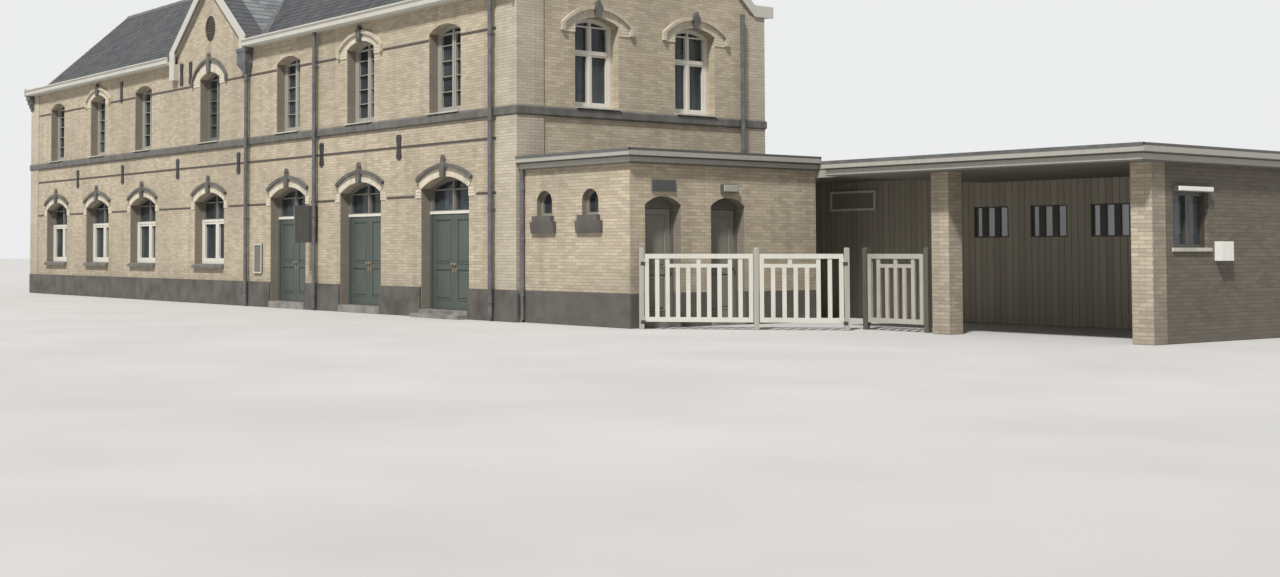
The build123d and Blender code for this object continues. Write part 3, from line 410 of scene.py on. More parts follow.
def boarded(name, tone, other, gap):
    """Boards with a groove at each joint and grain along them, upright on a wall."""
    finish = Finish(name, 0.62)
    boards, grooves = bonded(finish, tone, other, gap, BOARD_WIDTH, BOARD_LENGTH, BOARD_GROOVE, 0.0)
    grain = finish.noise(5.0, 6.0, (14.0, 14.0, 0.8))
    body = finish.blend(finish.spread(grain, 0.4, 0.7, 0.0, 0.45), boards, other)
    finish.bump(finish.math("SUBTRACT", finish.math("MULTIPLY", grain, 0.2), grooves), 0.006, 0.8)
    return finish.colour(body)


def flat_roof(name, paint, felt):
    """Painted fascias with dark rims and joints, sides towards ±X darkened as painted shade, a dark soffit
    and felt on top.
    """
    finish = Finish(name, 0.5)
    brush = finish.spread(finish.noise(2.4, 6.0, (6.0, 6.0, 1.0)), 0.4, 0.78, 0.0, 0.35)
    body = finish.blend(brush, paint, rgb(134, 130, 120))
    # Painted shade: fascia faces towards ±X are darkened.
    body = finish.blend(finish.math("MULTIPLY", finish.nx, 0.08), body, rgb(92, 90, 84))
    joint, rim = 0.013, 0.022
    annex, shelter = dict(x=(None, ROOF_SPLIT)), dict(x=(ROOF_SPLIT, None))
    before_kerb = dict(annex, y=(None, PASSAGE_FRONT + 0.009))
    for (foot, step, top), whole, stepped in ((ANNEX_FASCIA, annex, before_kerb),
                                              (SHELTER_FASCIA, shelter, shelter)):
        body = finish.tint(body, rgb(66, 64, 59), z=(step - joint, step + joint), **stepped)
        for low, high in ((foot, foot + rim), (top - 0.028, top + 0.002)):
            body = finish.tint(body, rgb(80, 78, 72), z=(low, high), **whole)
    body = finish.tint(body, rgb(104, 100, 92), nz=(None, -0.5))
    covering = finish.blend(finish.noise(2.0, 8.0), felt, rgb(96, 95, 92))
    body = finish.tint(body, covering, nz=(0.5, None))
    finish.bump(finish.noise(25.0, 6.0), 0.002, 0.5)
    return finish.colour(body)


BRICK = brickwork("pale_brick", rgb(196, 182, 158), rgb(172, 158, 134), rgb(150, 143, 130),
                  plastered=True)
ANNEX_BRICK = brickwork("annex_brick", rgb(196, 182, 158), rgb(172, 158, 134),
                        rgb(148, 141, 128), tarred=0.62)
LIGHT_BRICK = brickwork("light_brick", rgb(193, 183, 164), rgb(177, 166, 146), rgb(153, 145, 132))
PIER_BRICK = brickwork("pier_brick", rgb(190, 177, 155), rgb(164, 151, 131), rgb(140, 134, 123))
# The shelter's side wall takes a darker copy of the brick: painted shade on the side towards +X.
SHADED_SIDE_BRICK = brickwork("shaded_side_brick", rgb(122, 114, 100), rgb(98, 91, 79), rgb(84, 80, 72))
DARK_BRICK = stonework("dark_brick", rgb(88, 78, 72), rgb(66, 60, 57), 9.0, 0.7)
VOUSSOIR = stonework("light_voussoirs", rgb(212, 203, 184), rgb(192, 181, 160), 7.0, 0.82)
DARK_HOOD = ((102, 99, 94), (78, 76, 73))
HOOD_STONE = zoned_stone("hood_stone", DARK_HOOD, (UPPER_LABELS, ((190, 180, 160), (170, 159, 139))),
                         *[(zone, DARK_HOOD) for zone in [GABLE_HOOD] + KEYSTONES])
DARK_STONE = stonework("dark_stone", rgb(106, 103, 97), rgb(84, 82, 78), 5.0, 0.68)
SILL_STONE = zoned_stone("sill_stone", ((190, 186, 174), (160, 156, 146)),
                         (GROUND_SILLS, ((108, 105, 99), (86, 84, 79))))
TAR = stonework("tarred_base", rgb(96, 91, 85), rgb(70, 67, 63), 2.2, 0.8, 0.005)
STEP_STONE = stonework("step_stone", rgb(138, 135, 126), rgb(106, 104, 98), 4.0, 0.7)
FLOOR_TILES = stonework("floor_tiles", rgb(140, 130, 116), rgb(112, 104, 94), 2.0, 0.6)
WHITE = painted("white_paint", rgb(198, 195, 185), rgb(160, 156, 142))
POST_PAINT = zoned_paint("post_paint", 0.5, 0.5, ((160, 157, 147), (126, 122, 110)),
                         (SMALL_GATE, ((92, 89, 82), (74, 71, 65))))
SMALL_GATE_PAINT = painted("small_gate_paint", rgb(176, 172, 161), rgb(132, 128, 116), wear=0.5)
ANNEX_DOOR_PAINT = painted("annex_door_paint", rgb(132, 130, 120), rgb(112, 109, 99), 0.4)
EAVES_PAINT = painted("eaves_paint", rgb(194, 191, 181), rgb(156, 152, 139))
SHELTER_TONES = ((74, 71, 65), (58, 55, 50))
WINDOW_PAINT = zoned_paint(
    "window_paint", 0.42, 0.3, ((214, 210, 198), (172, 167, 152)),
    (UPSTAIRS_FRONT, ((158, 154, 144), (132, 128, 118))),
    (ANNEX_WINDOWS, ((136, 132, 122), (136, 132, 122))),
    # painted shade on the frames above the front transoms, under the arch heads
    (SHADED_FRONT_FANLIGHTS, ((112, 109, 101), (112, 109, 101))),
    (GABLE_WINDOW, ((112, 109, 101), (112, 109, 101))),
    (SCREEN, SHELTER_TONES), (SHELTER_WINDOW, SHELTER_TONES))
FRAME_PAINT = zoned_paint("door_frame_paint", 0.4, 0.3, ((68, 76, 70), (92, 97, 88)),
                          (ANNEX_DOORS, ((104, 102, 94), (88, 86, 79))))
DOOR_PAINT = painted("door_paint", rgb(68, 76, 70), rgb(92, 97, 88), 0.36)
SCREEN_BOARDS = boarded("screen_boards", rgb(176, 169, 155), rgb(158, 151, 137), rgb(96, 91, 83))
FLOOR_BOARDS = boarded("floor_boards", rgb(120, 96, 70), rgb(104, 82, 60), rgb(48, 38, 30))
FELTED = flat_roof("felted_roof", rgb(164, 161, 151), rgb(74, 73, 71))
ZINC = stonework("zinc", rgb(100, 101, 100), rgb(78, 79, 79), 6.0, 0.5, 0.001)
IRON = stonework("black_iron", rgb(58, 55, 52), rgb(40, 38, 37), 12.0, 0.55, 0.002)
ENAMEL = zoned_paint("dark_enamel", 0.34, 0.3, ((78, 80, 79), (104, 103, 98)),
                     (SCREEN, ((150, 144, 131), (150, 144, 131))),
                     (LETTER_BOX, ((226, 224, 216), (190, 187, 176))))
PAPER = painted("blank_paper", rgb(112, 108, 99), rgb(94, 91, 83), 0.7, 0.4)
# Opal white of the lamp covers; on the passage board frame it stands as painted light.
LAMP_OPAL_AND_LIT_WHITE = painted("opal_lamp", rgb(226, 225, 216), rgb(196, 193, 182), 0.25, 0.2)
BRASS = stonework("worn_brass", rgb(150, 126, 78), rgb(112, 92, 58), 20.0, 0.35, 0.0005)
SLATE = slated("slates", rgb(44, 46, 50), rgb(66, 67, 70))
# The cross gable's slates are a lighter copy of the roof slates: painted light on its slopes.
LIT_GABLE_SLATE = slated("gable_slates", rgb(92, 95, 100), rgb(128, 129, 129), 0.5)

glass = Finish("window_glass", 0.06, Alpha=0.62)
film = glass.spread(glass.noise(1.3, 5.0), 0.4, 0.8)
GLASS = glass.colour(glass.blend(film, rgb(48, 56, 60), rgb(84, 92, 94)))

NODE_FINISHES = {
    BRICK: ["front_wall_lower", "front_piers", "front_door_heads", "front_wall_upper",
            "cross_gable_wall", "rear_wall", "right_end_wall", "left_end_wall"],
    ANNEX_BRICK: ["annex_end_walls", "annex_side_head", "annex_side_piers"],
    LIGHT_BRICK: ["corner_pilasters"],
    PIER_BRICK: ["shelter_piers"],
    SHADED_SIDE_BRICK: ["shelter_side_wall"],
    VOUSSOIR: ["opening_arches"],
    DARK_STONE: ["string_course"],
    HOOD_STONE: ["hood_moulds"],
    SILL_STONE: ["window_sills"],
    TAR: ["plinth", "annex_window_boxes"],
    STEP_STONE: ["door_steps"],
    FLOOR_TILES: ["ground_floors"],
    FLOOR_BOARDS: ["upper_floor"],
    WHITE: ["large_gate_leaf", "middle_gate_leaf"],
    WINDOW_PAINT: ["window_frames"],
    EAVES_PAINT: ["bargeboards", "gutters"],
    POST_PAINT: ["gate_posts"],
    SMALL_GATE_PAINT: ["small_gate_leaf"],
    ANNEX_DOOR_PAINT: ["annex_door_leaf_a", "annex_door_leaf_b"],
    FRAME_PAINT: ["door_frames"],
    DOOR_PAINT: ["rear_doors", "left_door_leaf_a", "left_door_leaf_b", "middle_door_leaf_a",
                 "middle_door_leaf_b", "right_door_leaf_a", "right_door_leaf_b"],
    SCREEN_BOARDS: ["screen_wall"],
    FELTED: ["annex_roof", "shelter_roof", "passage_roof"],
    ZINC: ["downpipes"],
    IRON: ["wall_anchors", "hinges"],
    ENAMEL: ["wall_fittings"],
    SLATE: ["main_roof_front", "main_roof_rear", "cross_gable_roof", "ridge_tiles"],
    GLASS: ["window_glass"],
}
for material, names in NODE_FINISHES.items():
    for name in names:
        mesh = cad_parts[name].data
        mesh.materials.clear()
        mesh.materials.append(material)


# Mesh helpers
class Mesh:
    """Collects simple solids and turns them into one object."""

    def __init__(self):
        self.points = []
        self.faces = []
        self.place = Matrix.Identity(4)

    def solid(self, points, faces):
        start = len(self.points)
        self.points += [self.place @ Vector(point) for point in points]
        self.faces += [[start + index for index in face] for face in faces]

    def box(self, x0, x1, y0, y1, z0, z1):
        self.prism([(x0, y0, z0), (x1, y0, z0), (x1, y1, z0), (x0, y1, z0)], (0, 0, z1 - z0))

    def prism(self, outline, shift):
        """Outline moved by shift, closed at both ends."""
        count = len(outline)
        shift = Vector(shift)
        ends = [Vector(point) for point in outline] + [Vector(point) + shift for point in outline]
        sides = [(i, (i + 1) % count, count + (i + 1) % count, count + i) for i in range(count)]
        self.solid(ends, [tuple(range(count))[::-1], tuple(range(count, 2 * count))] + sides)

    def raised(self, x0, x1, z0, z1, y, height, slope):
        """Field on a face at y that stands towards -Y with sloping edges."""
        inner = [(x0 + slope, z0 + slope), (x1 - slope, z0 + slope), (x1 - slope, z1 - slope),
                 (x0 + slope, z1 - slope)]
        outer = [(x0, z0), (x1, z0), (x1, z1), (x0, z1)]
        points = [(x, y, z) for x, z in outer] + [(x, y - height, z) for x, z in inner]
        sides = [(i, (i + 1) % 4, 4 + (i + 1) % 4, 4 + i) for i in range(4)]
        self.solid(points, [(3, 2, 1, 0), (4, 5, 6, 7)] + sides)

    def framed(self, x0, x1, z0, z1, y, width, height, slope):
        """Four raised bars round a field on a face at y."""
        for a, b, c, d in ((x0, x1, z0, z0 + width), (x0, x1, z1 - width, z1),
                           (x0, x0 + width, z0 + width, z1 - width),
                           (x1 - width, x1, z0 + width, z1 - width)):
            self.raised(a, b, c, d, y, height, slope)

    def wedge(self, hub, inner, outer, start, end, y0, y1):
        """One voussoir between two angles off the vertical."""
        outline = []
        for radius, angle in ((inner, start), (inner, end), (outer, end), (outer, start)):
            outline.append((hub[0] + radius * math.sin(angle), y0, hub[1] + radius * math.cos(angle)))
        self.prism(outline, (0, y1 - y0, 0))

    def turned(self, origin, axis, profile, sides=16):
        """Lathe shape: profile lists distance along the axis and radius."""
        axis = Vector(axis).normalized()
        across = axis.orthogonal().normalized()
        other = axis.cross(across)
        points = []
        for distance, radius in profile:
            centre = Vector(origin) + axis * distance
            for step in range(sides):
                angle = 2 * math.pi * step / sides
                points.append(centre + across * radius * math.cos(angle) + other * radius * math.sin(angle))
        faces = [tuple(range(sides))[::-1],
                 tuple(range((len(profile) - 1) * sides, len(profile) * sides))]
        for ring in range(len(profile) - 1):
            for step in range(sides):
                near = ring * sides
                far = near + sides
                after = (step + 1) % sides
                faces.append((near + step, near + after, far + after, far + step))
        self.solid(points, faces)

    def finish(self, name, material, slot, body="root"):
        data = bpy.data.meshes.new(name)
        data.from_pydata([tuple(point) for point in self.points], [], self.faces)
        data.materials.append(material)
        made = bpy.data.objects.new(name, data)
        bpy.context.collection.objects.link(made)
        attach(made, body)
        return made


def on_front(middle):
    return Matrix.Translation((middle, 0, 0))


def on_rear(middle):
    return Matrix.Translation((middle, DEPTH, 0)) @ Matrix.Rotation(math.pi, 4, "Z")


def on_right(middle):
    return Matrix.Translation((0, middle, 0)) @ Matrix.Rotation(math.pi / 2, 4, "Z")


def on_left(middle):
    return Matrix.Translation((-LENGTH, middle, 0)) @ Matrix.Rotation(-math.pi / 2, 4, "Z")


def arch_of(opening):
    """Radius, hub height and half angle of a segmental head."""
    half = opening["width"] / 2
    rise = opening["rise"]
    radius = (half * half + rise * rise) / (2 * rise)
    return radius, opening["springing"] + rise - radius, math.asin(half / radius)


# Brick arches and bands
def arch_bricks(mesh):
    """Voussoirs of a ground floor arch, with legs of the same brick beside the opening."""
    radius, hub, half_angle = arch_of(OPENING)
    half = OPENING["width"] / 2
    count = round(2 * half_angle * radius / ARCH_PITCH)
    step = 2 * half_angle / count
    joint = ARCH_JOINT / radius
    for index in range(count):
        start = -half_angle + index * step
        if abs(start + step / 2) * radius >= KEY_GAP:
            mesh.wedge((0, hub), radius, radius + ARCH_DEPTH, start + joint / 2,
                       start + step - joint / 2, -ARCH_RELIEF, 0)
    for row in range(round(ARCH_LEG / COURSE)):
        top = OPENING["springing"] - row * COURSE - JOINT / 2
        for side in (-1, 1):
            edges = sorted((side * half, side * (half + ARCH_DEPTH)))
            mesh.box(edges[0], edges[1], -ARCH_RELIEF, 0, top - COURSE + JOINT, top)


light_arches = Mesh()
for place in [on_front(bay) for bay in BAYS] + [on_rear(bay) for bay in BAYS]:
    light_arches.place = place
    arch_bricks(light_arches)


def fan_bricks(mesh, spread, crown):
    """Voussoirs over an upper window, longer at the foot than at the crown, and their legs."""
    radius, hub, half_angle = arch_of(WINDOW)
    half = WINDOW["width"] / 2 + spread
    rise_out = WINDOW["rise"] + crown
    outer = (half * half + rise_out * rise_out) / (2 * rise_out)
    outer_hub = WINDOW["springing"] + rise_out - outer
    outer_angle = math.asin(half / outer)
    for index in range(FAN_COUNT):
        shares = [2 * (index + edge) / FAN_COUNT - 1 for edge in (FAN_JOINT, 1 - FAN_JOINT)]
        if abs(sum(shares) / 2) * WINDOW["width"] / 2 < KEY_GAP:
            continue
        low = [(radius * math.sin(share * half_angle), hub + radius * math.cos(share * half_angle))
               for share in shares]
        high = [(outer * math.sin(share * outer_angle), outer_hub + outer * math.cos(share * outer_angle))
                for share in reversed(shares)]
        mesh.prism([(x, -ARCH_RELIEF, z) for x, z in low + high], (0, ARCH_RELIEF, 0))
    for row in range(3):
        top = WINDOW["springing"] - row * COURSE - JOINT / 2
        for side in (-1, 1):
            edges = sorted((side * WINDOW["width"] / 2, side * half))
            split = edges[0] + spread * (0.62 if row % 2 else 0.38)
            for x0, x1 in ((edges[0], split - JOINT / 2), (split + JOINT / 2, edges[1])):
                mesh.box(x0, x1, -ARCH_RELIEF, 0, top - COURSE + JOINT, top)


hoods = [(on_front(bay), SPREAD, CROWN) for bay in (HOODED[0], HOODED[2])]
hoods += [(on_front(HOODED[1]), GABLE_SPREAD, GABLE_CROWN)]
hoods += [(on_rear(bay), SPREAD, CROWN) for bay in HOODED]
hoods += [(on_right(place), SPREAD, CROWN) for place in END_WINDOWS]
hoods += [(on_left(place), SPREAD, CROWN) for place in END_WINDOWS]
for place, spread, crown in hoods:
    light_arches.place = place
    fan_bricks(light_arches, spread, crown)
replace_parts(light_arches.finish("arch_voussoirs", VOUSSOIR, "light_brick"), "opening_arches")


def band(mesh, start, end, low):
    """Row of dark bricks on a wall."""
    count = max(1, round((end - start) / BRICK_LENGTH))
    pitch = (end - start) / count
    for index in range(count):
        left = start + index * pitch
        mesh.box(left + JOINT / 2, left + pitch - JOINT / 2, -BAND_RELIEF, 0, low, low + BAND)


bands = Mesh()
for place, mirrored in ((on_front(0), False), (on_rear(-LENGTH), True)):
    bands.place = place
    middles = sorted(-LENGTH - bay if mirrored else bay for bay in BAYS)
    hooded = [-LENGTH - bay if mirrored else bay for bay in HOODED]
    low_end = PILASTER - LENGTH
    high_end = -PILASTER
    band(bands, low_end, high_end, FLOOR_BAND)
    clear = OPENING["width"] / 2 + BAND_CLEAR
    edges = [low_end]
    for middle in middles:
        edges += [middle - clear, middle + clear]
    edges.append(high_end)
    for start, end in zip(edges[::2], edges[1::2]):
        band(bands, start, end, IMPOST_BAND)
    start = low_end
    for middle in middles:
        clear = WINDOW["width"] / 2
        if middle in hooded:
            clear += SPREAD + LABEL
        if middle == CENTRE and not mirrored:
            clear += GABLE_SPREAD - SPREAD
        band(bands, start, middle - clear, HOOD_BAND)
        start = middle + clear
    band(bands, start, high_end, HOOD_BAND)
bands.finish("dark_brick_bands", DARK_BRICK, "dark_brick")

labels = Mesh()
for place, spread, crown in hoods:
    labels.place = place
    edge = WINDOW["width"] / 2 + spread
    for side in (-1, 1):
        x0, x1 = sorted((side * edge, side * (edge + LABEL)))
        labels.box(x0, x1, -LABEL_RELIEF, 0, HOOD_BAND, WINDOW["springing"])
labels.finish("hood_label_stops", HOOD_STONE, "dark_stone")

anchors = Mesh()
plate = 0.028
for x, level, height in ANCHORS:
    half = height / 2
    side = [(0.05, -half), (0.095, -half + 0.05), (0.085, -half + 0.12), (0.062, 0.0),
            (0.085, half - 0.12), (0.095, half - 0.05), (0.05, half)]
    outline = [(x + out, -plate, level + up) for out, up in side]
    outline += [(x - out, -plate, level + up) for out, up in reversed(side)]
    anchors.prism(outline, (0, plate, 0))
    anchors.turned((x, -plate, level), (0, -1, 0), [(0.0, 0.03), (0.012, 0.028), (0.018, 0.012)], 8)
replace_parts(anchors.finish("wall_anchor_plates", IRON, "iron"), "wall_anchors")

corbels = Mesh()
for place, start in ((on_front(0), -LENGTH - CORBEL_OVER), (on_rear(-LENGTH), CORBEL_OVER - CORBEL)):
    corbels.place = place
    for low, high, out in CORBEL_STEPS:
        corbels.box(start, start + CORBEL, -out, 0.0, low, high)
corbels.finish("eaves_corbels", DARK_STONE, "dark_stone")


# Slates and ridges
def clipped(outline, keep):
    """Part of a flat outline where keep(point) is positive; keep is linear."""
    kept = []
    for first, second in zip(outline, outline[1:] + outline[:1]):
        a, b = keep(first), keep(second)
        if a >= 0:
            kept.append(first)
        if (a >= 0) != (b >= 0):
            share = a / (a - b)
            kept.append((first[0] + (second[0] - first[0]) * share,
                         first[1] + (second[1] - first[1]) * share))
    return kept


def slate_rows(mesh, left, right, length, point, up, limits):
    """Slates from the eaves upwards; point(u, v) gives the place on the roof."""
    rows = math.ceil(length / SLATE_GAUGE)
    columns = math.ceil((right - left) / SLATE_WIDTH) + 1
    for row in range(rows):
        low = row * SLATE_GAUGE
        high = min(length, low + SLATE_GAUGE)
        shift = SLATE_WIDTH / 2 if row % 2 else 0.0
        for column in range(columns):
            start = left - shift + column * SLATE_WIDTH
            dip = random.uniform(-0.004, 0.004)
            near = max(left, start) + SLATE_GAP
            far = min(right, start + SLATE_WIDTH) - SLATE_GAP
            if far - near < 0.02:
                continue
            outline = [(near, low + dip), (far, low + dip), (far, high), (near, high)]
            for keep in limits:
                outline = clipped(outline, keep) if outline else outline
            if len(outline) < 3:
                continue
            lift = random.uniform(0.0, 0.003)
            base = [point(u, v) + up * 0.001 for u, v in outline]
            top = []
            for u, v in outline:
                share = (v - low) / SLATE_GAUGE
                top.append(point(u, v) + up * (SLATE_BUTT + lift - SLATE_TAPER * share))
            count = len(base)
            sides = [(i, (i + 1) % count, count + (i + 1) % count, count + i) for i in range(count)]
            mesh.solid(base + top, [tuple(range(count, 2 * count))] + sides)


slope_length = math.hypot(DEPTH / 2 - ROOF_FOOT, RIDGE - GUTTER_TOP)
run = (DEPTH / 2 - ROOF_FOOT) / slope_length
rise = (RIDGE - GUTTER_TOP) / slope_length


def front_point(u, v):
    return Vector((u, ROOF_FOOT + v * run, GUTTER_TOP + v * rise))


def rear_point(u, v):
    return Vector((u, DEPTH - ROOF_FOOT - v * run, GUTTER_TOP + v * rise))


front_up = Vector((0, -rise, run))
rear_up = Vector((0, rise, run))
gable_reach = (GABLE_TOP - GUTTER_TOP) / GABLE_SLOPE
valley_rise = (GABLE_TOP - GUTTER_TOP) / rise

slates = Mesh()
for start, end, side in ((-LENGTH - VERGE, CENTRE, -1), (CENTRE, VERGE, 1)):
    slate_rows(slates, start, end, slope_length, front_point, front_up,
               [lambda p, s=side: (p[0] - CENTRE) * s / gable_reach + p[1] / valley_rise - VALLEY_CLEAR])
slates.finish("front_slates", SLATE, "slate")
rear_slates = Mesh()
slate_rows(rear_slates, -LENGTH - VERGE, VERGE, slope_length, rear_point, rear_up, [])
rear_slates.finish("rear_slates", SLATE, "slate")

gable_length = math.hypot(GABLE_HALF, GABLE_HALF * GABLE_SLOPE)
gable_run = GABLE_HALF / gable_length
gable_fall = gable_run * GABLE_SLOPE
valley_depth = (GABLE_TOP - GUTTER_TOP) / MAIN_SLOPE
gable_slates = Mesh()
for side in (-1, 1):
    def gable_point(u, v, s=side):
        return Vector((CENTRE + s * (GABLE_HALF - v * gable_run), u,
                       GABLE_TOP - (GABLE_HALF - v * gable_run) * GABLE_SLOPE))

    gable_up = Vector((side * gable_fall, 0, gable_run))
    slate_rows(
        gable_slates, -GABLE_EAVES, ROOF_FOOT + valley_depth, gable_length, gable_point, gable_up,
        [lambda p: (ROOF_FOOT + valley_depth - p[0]) * MAIN_SLOPE
            - (GABLE_HALF - p[1] * gable_run) * GABLE_SLOPE])
gable_slates.finish("gable_slates", LIT_GABLE_SLATE, "slate")


def ridge_row(mesh, place, start, end, half, drop, rise_up):
    """Half-round ridge tiles, each lapping over the next."""
    count = round((end - start) / RIDGE_PITCH)
    pitch = (end - start) / count
    mesh.place = place
    steps = 8
    for index in range(count):
        low = start + index * pitch
        high = low + pitch + (RIDGE_LAP if index < count - 1 else 0)
        lift = 0.004 * (index % 2)
        outline = []
        for step in range(steps + 1):
            share = step / steps * 2 - 1
            outline.append((low, share * half, (1 - share * share) * (drop + rise_up) - drop + lift))
        outline.append((low, 0.02, -0.01))
        mesh.prism(outline, (high - low, 0, 0))


ridges = Mesh()
ridge_row(ridges, Matrix.Translation((0, DEPTH / 2, RIDGE)), -LENGTH - VERGE, VERGE, RIDGE_TILE,
          RIDGE_TILE * MAIN_SLOPE, RIDGE_CREST)
ridge_row(ridges, Matrix.Translation((CENTRE, 0, GABLE_TOP)) @ Matrix.Rotation(math.pi / 2, 4, "Z"),
          -GABLE_EAVES, ROOF_FOOT + valley_depth - 0.1, RIDGE_TILE, RIDGE_TILE * GABLE_SLOPE,
          RIDGE_CREST)
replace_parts(ridges.finish("ridge_tile_row", DARK_STONE, "slate"), "ridge_tiles")

valleys = Mesh()
bed, thickness, taper = 0.002, 0.018, 0.05
for side in (-1, 1):
    foot = Vector((CENTRE + side * gable_reach, ROOF_FOOT, GUTTER_TOP))
    head = Vector((CENTRE, ROOF_FOOT + valley_depth, GABLE_TOP))
    foot = foot.lerp(head, 1 - GABLE_HALF / gable_reach)
    gable_up = Vector((side * gable_fall, 0, gable_run))
    lead = Vector((-side * gable_run, 0, gable_fall)) * VALLEY_LEAD
    for across, up in ((Vector((side * VALLEY_LEAD, 0, 0)), front_up), (lead, gable_up)):
        outline = [foot, foot + across, head + across * taper, head]
        valleys.prism([corner + up * bed for corner in outline], up * thickness)
valleys.finish("lead_valleys", ZINC, "zinc")


# Windows
def sash(mesh, x0, x1, z0, z1, width, across):
    """Sash frame of one light with its thin bars, given as shares of its height."""
    mesh.box(x0, x1, SASH_FRONT, SASH_BACK, z0, z0 + width)
    mesh.box(x0, x1, SASH_FRONT, SASH_BACK, z1 - width, z1)
    mesh.box(x0, x0 + width, SASH_FRONT, SASH_BACK, z0 + width, z1 - width)
    mesh.box(x1 - width, x1, SASH_FRONT, SASH_BACK, z0 + width, z1 - width)
    for share in across:
        level = z0 + (z1 - z0) * share
        mesh.box(x0 + width, x1 - width, SASH_FRONT + THIN_BAR, SASH_BACK, level - THIN_BAR,
                 level + THIN_BAR)


upper_places = [on_front(bay) for bay in BAYS] + [on_rear(bay) for bay in BAYS]
end_places = [on_right(place) for place in END_WINDOWS] + [on_left(place) for place in END_WINDOWS]
ground_places = [on_front(bay) for bay in WINDOW_BAYS] + [on_rear(bay) for bay in WINDOW_BAYS]
ground_places += [on_left(place) for place in END_WINDOWS]
fan_places = [on_front(bay) for bay in DOOR_BAYS] + [on_rear(bay) for bay in DOOR_BAYS]
upper_foot = WINDOW["foot"] + FRAME_WIDTH
upper_head = WINDOW["springing"]
ground_foot = OPENING["foot"] + FRAME_WIDTH
ground_head = OPENING["springing"]
# Each row: places, opening, and each light's foot, head, frame width and bars
WINDOW_ROWS = [
    (upper_places, WINDOW, [(upper_foot, upper_head, UPPER_SASH, UPPER_BARS)]),
    (end_places, WINDOW, [(upper_foot, UPPER_TRANSOM - BAR / 2, UPPER_SASH, ()),
                          (UPPER_TRANSOM + BAR / 2, upper_head, FAN_SASH, ())]),
    (ground_places, OPENING, [(ground_foot, TRANSOM, GROUND_SASH, ()),
                              (TRANSOM + BAR, ground_head, FAN_SASH, ())]),
    (fan_places, OPENING, [(TRANSOM + BAR / 2, ground_head, FAN_SASH, ())]),
]
sashes = Mesh()
for places, opening, lights in WINDOW_ROWS:
    edge = opening["width"] / 2 - FRAME_WIDTH
    for place in places:
        sashes.place = place
        for side in (-1, 1):
            x0, x1 = sorted((side * BAR / 2, side * edge))
            for foot, head, width, across in lights:
                sash(sashes, x0, x1, foot, head, width, across)
sashes.finish("sashes_and_bars", WINDOW_PAINT, "white_paint")


# Doors
def leaf_dressing(mesh, x0, x1, z0, height, face):
    """Raised panels with their mouldings on a leaf whose face lies at y = face."""
    stile = 0.11
    inset = 0.05
    ground = face + 0.012
    lock = height * 0.42
    left, right = x0 + stile, x1 - stile
    for low, high in ((stile * 1.6, lock), (lock + stile, height - stile)):
        bottom, top = z0 + low, z0 + high
        mesh.raised(left + inset, right - inset, bottom + inset, top - inset, ground, 0.012, 0.02)
        mesh.framed(left, right, bottom, top, ground, 0.022, 0.018, 0.007)


def knob(mesh, x, z, face):
    """Knob on a round plate."""
    reach = 0.055
    mesh.turned((x, face, z), (0, -1, 0),
                [(0.0, 0.026), (0.004, 0.026), (0.006, 0.012), (reach * 0.55, 0.011),
                 (reach * 0.65, 0.022), (reach * 0.85, 0.027), (reach, 0.02), (reach + 0.005, 0.006)])


for name in ("left", "middle", "right"):
    for letter, side in (("a", 1), ("b", -1)):
        low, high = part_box(f"{name}_door_leaf_{letter}")
        body = f"{name}_door_{letter}"
        x0 = low.x if side < 0 else high.x - LEAF
        x1 = x0 + LEAF
        panels = Mesh()
        leaf_dressing(panels, x0, x1, low.z, high.z - low.z, low.y)
        panels.finish(f"{name}_door_panels_{letter}", DOOR_PAINT, "door_paint", body)
        handle = Mesh()
        meeting = x1 - KNOB_EDGE if side > 0 else x0 + KNOB_EDGE
        knob(handle, meeting, low.z + KNOB_LEVEL, low.y)
        handle.raised(meeting - 0.02, meeting + 0.02, low.z + 0.78, low.z + 0.88, low.y, 0.004, 0.004)
        handle.finish(f"{name}_door_knob_{letter}", BRASS, "door_paint", body)

for letter in "ab":
    low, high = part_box(f"annex_door_leaf_{letter}")
    body = f"annex_door_{letter}"
    panels = Mesh()
    panels.place = Matrix.Translation((high.x, 0, 0)) @ Matrix.Rotation(math.pi / 2, 4, "Z")
    leaf_dressing(panels, high.y - ANNEX_LEAF, high.y, low.z, high.z - low.z, 0.0)
    panels.finish(f"annex_door_panels_{letter}", ANNEX_DOOR_PAINT, "door_paint", body)
    handle = Mesh()
    handle.place = panels.place
    knob(handle, high.y - KNOB_EDGE, low.z + KNOB_LEVEL, 0.0)
    handle.finish(f"annex_door_knob_{letter}", IRON, "iron", body)

rear_panels = Mesh()
for bay in DOOR_BAYS:
    rear_panels.place = on_rear(bay)
    for side in (-1, 1):
        middle = side * OPENING["width"] / 4
        half = OPENING["width"] / 4 - 0.15
        for foot, head in REAR_PANELS:
            rear_panels.raised(middle - half, middle + half, foot, head, REVEAL + 0.012, 0.011, 0.02)
    rear_panels.box(-0.025, 0.025, REVEAL - 0.012, REVEAL, 0.17, TRANSOM)
rear_panels.finish("rear_door_panels", DOOR_PAINT, "door_paint")


# Gutters, pipes and roof edges
mouldings = Mesh()
for sign, start, end in ((-1, -LENGTH - VERGE, CENTRE - GABLE_HALF), (-1, CENTRE + GABLE_HALF, VERGE),
                         (1, -LENGTH - VERGE, VERGE)):
    face = -EAVES if sign < 0 else DEPTH + EAVES
    for low, high, out in ((GUTTER_TOP - 0.035, GUTTER_TOP, 0.028),
                           (GUTTER_TOP - 0.06, GUTTER_TOP - 0.035, 0.014),
                           (GUTTER_FOOT, GUTTER_FOOT + 0.025, 0.016)):
        edges = sorted((face, face + sign * out))
        mouldings.box(start, end, edges[0], edges[1], low, high)
mouldings.finish("gutter_mouldings", EAVES_PAINT, "white_paint")

